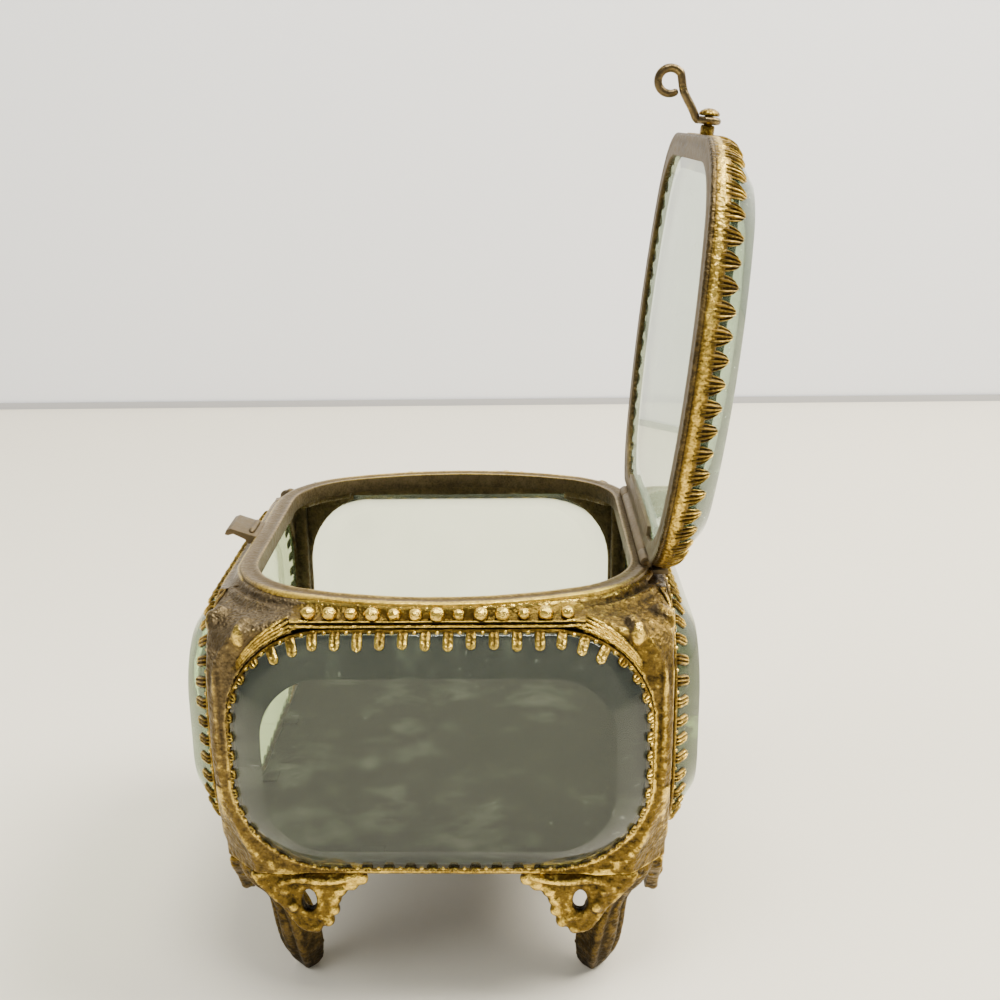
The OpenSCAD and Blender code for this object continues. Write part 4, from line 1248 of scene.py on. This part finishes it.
def make_lid_frame():
    """Flange that rests on the rim and the grained band round the glass."""
    # (inset, height, relief, rubbed through): flange from its inner edge outward, then up the band and over
    flange = ((4.1, 0.3, 0.4, 0.8), (4.02, 0.05, 0.5, 0.8), (3.8, 0.0, 0.45, 0.8), (2.4, 0.0, 0.4, 0.8),
              (2.0, 0.10, 0.3, 0.8), (1.4, 0.10, 0.3, 0.8), (1.0, 0.0, 0.4, 0.8), (0.4, 0.02, 0.45, 0.8))
    band = ((0.08, 0.16, 0.3, 0.75), (0.0, 0.4, 0.35, 0.7), (0.02, 0.62, 0.4, 0.55), (0.12, 0.8, 0.25, 0.35),
            (0.06, 1.05, 0.6, 0.15), (0.0, 1.6, 0.8, 0.0), (0.0, 2.3, 0.78, 0.0), (0.05, 2.75, 0.6, 0.25),
            (0.14, BAND - 0.12, 0.5, 0.7), (0.32, BAND, 0.5, 0.8), (0.6, BAND, 0.4, 0.6),
            (0.66, BAND - 0.2, 0.2, 0.6), (0.66, 1.0, 0.1, 0.6), (3.95, 1.0, 0.2, 0.6), (4.09, 0.8, 0.3, 0.6))
    section, relief, rubbed = split_profile(flange + band)
    p, f = swept_ring(lambda inset: rim_outline(inset, 24), [(inset, LID_Z + n) for inset, n in section])
    around = len(p) // len(section)
    wobble = blended_noise(p, (1.3, 0.55), (23, 24), 0.5) - 0.5
    p[:, 2] += 0.12 * wobble * (p[:, 2] > LID_Z + 0.9)
    obj = make_object("lid_frame_dressed", in_lid(clear_hinge(p)), f, "lid", ("lid_frame",),
                      48.0, np.repeat(relief, around), np.repeat(rubbed, around))
    finish(obj, "band")
    obj.data.materials.append(MATERIALS["flange"])
    for poly in obj.data.polygons:
        poly.material_index = int(max(poly.vertices) < len(flange) * around)


def lid_sites():
    """Places round the lid for its prongs: (x, y, outward angle)."""
    sites = []
    for sx in (1, -1):
        sites += straight_sites(sx * RIM_HALF_X, 0.0, 2 * RIM_CY, 0 if sx > 0 else math.pi, LID_PRONG_PITCH)
    count = round((BOW_R - LID_EDGE) * math.radians(2 * BOW_TURN) / LID_PRONG_PITCH)
    for sy in (1, -1):
        for i in range(count):
            a = math.radians(90 - BOW_TURN + 2 * BOW_TURN * (i + 0.5) / count) * sy
            sites.append((BOW_R * math.cos(a), sy * BOW_CY + BOW_R * math.sin(a), a))
    count = round((RIM_R - LID_EDGE) * math.radians(90 - BOW_TURN) / LID_PRONG_PITCH)
    for sx, sy in itertools.product((1, -1), repeat=2):
        for i in range(count):
            t = math.radians((90 - BOW_TURN) * (i + 0.5) / count)
            a = sy * t if sx > 0 else math.pi - sy * t
            sites.append((sx * RIM_CX + RIM_R * math.cos(a), sy * RIM_CY + RIM_R * math.sin(a), a))
    return sites


def lid_claw(i, turn):
    """Wide, pointed prong of the lid, with four ribs."""
    reach = 1.25 * (1.0 + 0.10 * math.sin(i * 1.7))
    root, land = LID_EDGE + 0.12, LID_LAND + 0.12
    c, s = math.cos(LID_TURN), math.sin(LID_TURN)
    path = [(0.34, 2.2), (0.42, 3.1), (0.78, 3.95), (LID_EDGE - 0.10, LID_LAND - 0.1),
            (root + c * reach * 0.5, land + s * reach * 0.5), (root + c * reach, land + s * reach)]
    return claw(path, (1.74, 1.55, 1.06, 0.68, 0.32, 0.08), 0.62, 4, i)


def make_lid_gallery():
    """Strip inside the band with its prongs."""
    # (inset, height, relief) of the strip; the face against the glass edge carries relief -0.6, painted shade
    # where the strip shows through the glass
    section, relief = split_profile((
        (0.72, LID_Z + 1.02, 0.1), (1.18, LID_Z + 1.02, -0.6), (1.18, LID_Z + BAND - 0.2, -0.6),
        (1.05, LID_Z + BAND, -0.2), (0.76, LID_Z + BAND, 0.4), (0.70, LID_Z + BAND - 0.2, 0.4)))
    p, f = swept_ring(lambda inset: rim_outline(inset, 20), section)
    soup = Soup()
    soup.add(in_lid(clear_hinge(p)), f, np.repeat(relief, len(p) // len(section)))
    set_claws(soup, lid_sites(), lid_claw, lambda q: in_lid(q, LID_Z))
    obj = soup.make("lid_gallery_dressed", "lid", "gilt", ("lid_gallery",), 50.0)
    finish(obj, "teeth")


class CASKET_OT_lid(bpy.types.Operator):
    """Lid frame with its flange and grained band, and the lid gallery"""

    bl_idname = "casket.lid"
    bl_label = "Make lid"

    def execute(self, context):
        make_lid_frame()
        make_lid_gallery()
        return {"FINISHED"}


# ---------------------------------------------------------------- hardware

# plain metal pieces: (piece, body, slot, finish, width of its rounded edges)
ROUNDED = (
    ("hinge_leaf_body", "case", "brown", "brown", 0.12),
    ("hinge_pin", "case", "brown", "wire", 0.12),
    ("hinge_leaf_lid", "lid", "brown", "brown", 0.12),
    ("catch_tab", "case", "brown", "brown", 0.22),
    ("base_frame", "case", "tarnished", "dull", 0.2),
    # the base clips take the base glass's finish, with its painted shadow
    ("base_clips", "case", "tarnished", "base", 0.12),
)


class CASKET_OT_hardware(bpy.types.Operator):
    """Hinge, pin, catch tab, lower rails, base frame and clips, with softened edges"""

    bl_idname = "casket.hardware"
    bl_label = "Make hinge, tab and rails"

    def execute(self, context):
        for node, body, slot, key, width in ROUNDED:
            finish(rounded_copy(node, body, width), key)

        steps, half = 14, 3.2
        roll = [(-RIM_HALF_X - 1.25, y, DECK_Z + 1.95) for y in np.linspace(-half, half, steps)]
        p, f = tube(roll, along_tube([0, 0.08, 0.92, 1], [0.35, 0.6, 0.6, 0.35], steps), 12)
        p = p + (value_noise(p, 0.9, 27) - 0.5)[:, None] * np.array([0.12, 0.0, 0.12])
        finish(make_object("catch_tab_roll", p, f, "case", (), 60.0), "brown")

        # (outward, height, relief) of the lower rails' stepped moulding
        section, relief = split_profile((
            (-2.2, 0.0, 0.2), (-0.5, 0.0, 0.3), (-0.1, 0.15, 0.5), (0.0, 0.5, 0.75), (-0.12, 0.85, 0.6),
            (-0.3, 1.0, 0.2), (-0.12, 1.15, 0.55), (0.02, 1.35, 0.7), (-0.1, 1.44, 0.3), (-1.38, 1.46, 0.2),
            (SEAT_N, 3.1, 0.2), (-1.6, 3.2, 0.2), (-2.2, 3.2, 0.2)))
        steps = 36
        for side in SIDES:
            half = (HALF_X if side in ENDS else HALF_Y) - FOOT_REACH + FOOT_TUCK
            pts = np.array([(x, RAIL_Z + z, n) for x in np.linspace(-half, half, steps) for n, z in section])
            pts[:, 2] += (value_noise(pts, 1.5, 31) - 0.5) * 0.12
            obj = make_object("lower_rail_%s_dressed" % side, on_side(side)(pts),
                              rings_to_faces(steps, len(section), closed=False, cap=True), "case",
                              ("lower_rail_" + side,), 45.0, np.tile(relief, steps))
            finish(obj, "gilt")
        return {"FINISHED"}


# hook: (distance from the hinge, height over the lid's underside, sideways) with the lid shut
EYE_U = HINGE_X + RIM_HALF_X + 2.3
EYE_N = 1.9
HOOK_Y = -7.3
EYE_R = 1.45
WIRE_R = 0.62
CURL_U, CURL_N, CURL_R = EYE_U + 5.6, EYE_N - 7.15, 2.0


def on_latch(p):
    """Turns points of the hook and its rivet into the open pose."""
    return in_lid(np.stack([HINGE_X - p[:, 0], HOOK_Y + p[:, 2], LID_Z + p[:, 1]], axis=1))


class CASKET_OT_hook(bpy.types.Operator):
    """Wire hook with its eye and curl, and the shouldered rivet"""

    bl_idname = "casket.hook"
    bl_label = "Make hook"

    def execute(self, context):
        soup = Soup()
        eye = [(EYE_U, EYE_N + EYE_R * math.cos(t), EYE_R * math.sin(t))
               for t in np.linspace(0, 2 * math.pi, 41)]
        p, f = tube(eye, WIRE_R, 12)
        soup.add(on_latch(p), f, 0.6)
        lead = [(EYE_U + u, EYE_N + n, 0) for u, n in (
            (-0.1, -1.75), (0.35, -2.22), (1.1, -2.62), (2.2, -3.35), (3.3, -4.15), (4.5, -4.85))]
        curl = [(CURL_U + CURL_R * math.cos(math.radians(a)), CURL_N + CURL_R * math.sin(math.radians(a)), 0)
                for a in range(55, -216, -18)]
        wire = curve_points(lead + curl, 6)
        p, f = tube(wire, along_tube([0, 0.1, 0.85, 1], [0.66, 0.7, 0.68, 0.58], len(wire)), 14)
        soup.add(on_latch(p), f, 0.55 + 0.5 * (value_noise(p, 0.9, 41) - 0.5))
        finish(soup.make("hook_dressed", "hook", "brown", ("latch_hook",), 60.0), "wire")

        # (distance from the eye's middle, radius): foot in the lid, shank through the eye, domed head
        profile = ((-2.3, 1.0), (-2.2, 1.18), (-0.95, 1.18), (-0.72, 1.05), (-0.7, 0.75), (0.72, 0.75),
                   (0.76, 1.55), (0.90, 1.74), (1.2, 1.72), (1.55, 1.42), (1.85, 0.85), (1.98, 0.25))
        sides = 28
        turns = [2 * math.pi * i / sides for i in range(sides)]
        pts = [(EYE_U + u, EYE_N + r * math.cos(t), r * math.sin(t)) for u, r in profile for t in turns]
        soup = Soup()
        soup.add(on_latch(np.array(pts)), rings_to_faces(len(profile), sides, closed=False, cap=True), 0.6)
        finish(soup.make("hook_rivet_dressed", "lid", "gilt", ("hook_rivet",), 45.0), "gilt")
        return {"FINISHED"}


# ---------------------------------------------------------------- stage, metres

WALL_Y = 0.45
STAGE_HALF = 3
# lamps: name, place, size, power, colour
LAMPS = (
    ("window", (0.65, 0.05, 0.85), 0.6, 24.0, (1.0, 0.97, 0.92)),
    ("fill", (-0.7, -0.4, 0.7), 0.9, 8.5, (0.95, 0.97, 1.0)),
    ("top", (0.05, -0.20, 0.9), 0.30, 7.0, (1.0, 0.99, 0.96)),
)
LAMP_AIM = Vector((0, 0, 0.06))
CAMERA_AT = ((12.713 + MID_X) / 1000, -0.233207, 0.148183)
CAMERA_YAW, CAMERA_PITCH, CAMERA_ROLL = -0.030, 0.305, -0.015


def make_backdrop(name, corners, tint):
    """One flat, matt sheet of the stage."""
    mesh = bpy.data.meshes.new(name)
    mesh.from_pydata(corners, [], [(0, 1, 2, 3)])
    obj = bpy.data.objects.new(name, mesh)
    bpy.context.scene.collection.objects.link(obj)
    mat, tree, shader, _, coord = new_material("studio " + name)
    clouds = noise_node(tree, coord, 3.0, 3)
    tree.links.new(ramp_node(tree, clouds, [(0.2, scaled(tint, 0.96)), (0.8, tint)]),
                   shader.inputs["Base Color"])
    tree.links.new(range_node(tree, noise_node(tree, coord, 400, 2), 0.3, 0.7, 0.55, 0.7),
                   shader.inputs["Roughness"])
    mesh.materials.append(mat)


def make_lamp(name, at, size, power, colour):
    """Soft round lamp turned to the box."""
    lamp = bpy.data.lights.new(name, "AREA")
    lamp.shape = "DISK"
    lamp.size = size
    lamp.energy = power
    lamp.color = colour
    obj = bpy.data.objects.new(name, lamp)
    obj.location = at
    obj.rotation_euler = (LAMP_AIM - Vector(at)).to_track_quat("-Z", "Y").to_euler()
    obj.visible_glossy = name != "fill"
    bpy.context.scene.collection.objects.link(obj)


def make_camera(scene):
    """Camera from its yaw, pitch and roll."""
    cam = bpy.data.cameras.new("camera")
    cam.sensor_fit = "HORIZONTAL"
    cam.sensor_width = 36.0
    cam.lens = 46.8
    cam.shift_x = 0.0204
    cam.shift_y = 0.0243
    cam.clip_start = 0.01
    cam.clip_end = 20.0
    obj = bpy.data.objects.new("camera", cam)
    forward = Vector((math.sin(CAMERA_YAW) * math.cos(CAMERA_PITCH),
                      math.cos(CAMERA_YAW) * math.cos(CAMERA_PITCH), -math.sin(CAMERA_PITCH)))
    level = Vector((math.cos(CAMERA_YAW), -math.sin(CAMERA_YAW), 0))
    upright = level.cross(forward)
    right = math.cos(CAMERA_ROLL) * level + math.sin(CAMERA_ROLL) * upright
    up = -math.sin(CAMERA_ROLL) * level + math.cos(CAMERA_ROLL) * upright
    turned = Matrix((right, up, -forward)).transposed().to_4x4()
    turned.translation = Vector(CAMERA_AT)
    obj.matrix_world = turned
    scene.collection.objects.link(obj)
    scene.camera = obj


class CASKET_OT_stage(bpy.types.Operator):
    """Plain pale floor and wall with a painted shadow strip where they meet, soft lights and the camera"""

    bl_idname = "casket.stage"
    bl_label = "Make stage"

    def execute(self, context):
        scene = context.scene
        w, y = STAGE_HALF, WALL_Y
        make_backdrop("floor", [(-w, -w, 0), (w, -w, 0), (w, y, 0), (-w, y, 0)],
                      tuple(scene.casket_colours.floor_pale))
        # thin dark grey strip at the foot of the wall: painted shadow of the line where the floor meets the
        # wall
        near_y, top = y - 0.001, 0.0035
        make_backdrop("painted_shadow_strip", [(-w, near_y, 0), (w, near_y, 0), (w, near_y, top), (-w, near_y, top)],
                      (0.42, 0.41, 0.40))
        make_backdrop("wall", [(-w, y, 0), (w, y, 0), (w, y, w), (-w, y, w)], (0.86, 0.855, 0.85))
        world = bpy.data.worlds.new("studio")
        world.use_nodes = True
        sky = world.node_tree.nodes["Background"]
        sky.inputs["Color"].default_value = (0.93, 0.95, 1.0, 1)
        sky.inputs["Strength"].default_value = 0.40
        scene.world = world
        for lamp in LAMPS:
            make_lamp(*lamp)
        make_camera(scene)
        return {"FINISHED"}


class CASKET_OT_finishes(bpy.types.Operator):
    """Mixes the metal and glass finishes"""

    bl_idname = "casket.finishes"
    bl_label = "Mix finishes"

    def execute(self, context):
        make_finishes(context.scene.casket_colours)
        return {"FINISHED"}


# ---------------------------------------------------------------- add-on


STEPS = (CASKET_OT_finishes, CASKET_OT_stage, CASKET_OT_rim, CASKET_OT_beaded_rails, CASKET_OT_corners,
         CASKET_OT_feet, CASKET_OT_galleries, CASKET_OT_glass, CASKET_OT_lid, CASKET_OT_hardware,
         CASKET_OT_hook)


class CASKET_PT_panel(bpy.types.Panel):
    """Casket tools"""

    bl_idname = "CASKET_PT_panel"
    bl_label = "Casket"
    bl_space_type = "VIEW_3D"
    bl_region_type = "UI"
    bl_category = "Casket"

    def draw(self, context):
        for step in STEPS:
            self.layout.operator(step.bl_idname)
        for group in (context.scene.casket_sizes, context.scene.casket_colours):
            for prop in group.bl_rna.properties:
                if prop.identifier not in ("rna_type", "name"):
                    self.layout.prop(group, prop.identifier)


CLASSES = (CasketSizes, CasketColours) + STEPS + (CASKET_PT_panel,)


def register():
    for cls in CLASSES:
        bpy.utils.register_class(cls)
    bpy.types.Scene.casket_sizes = PointerProperty(type=CasketSizes)
    bpy.types.Scene.casket_colours = PointerProperty(type=CasketColours)


def unregister():
    del bpy.types.Scene.casket_colours
    del bpy.types.Scene.casket_sizes
    for cls in reversed(CLASSES):
        bpy.utils.unregister_class(cls)


def main():
    """Makes the whole casket and its stage."""
    register()
    for step in STEPS:
        group, name = step.bl_idname.split(".")
        result = getattr(getattr(bpy.ops, group), name)()
        if result != {"FINISHED"}:
            raise RuntimeError(step.bl_label + " did not finish")


if __name__ == "__main__":
    main()
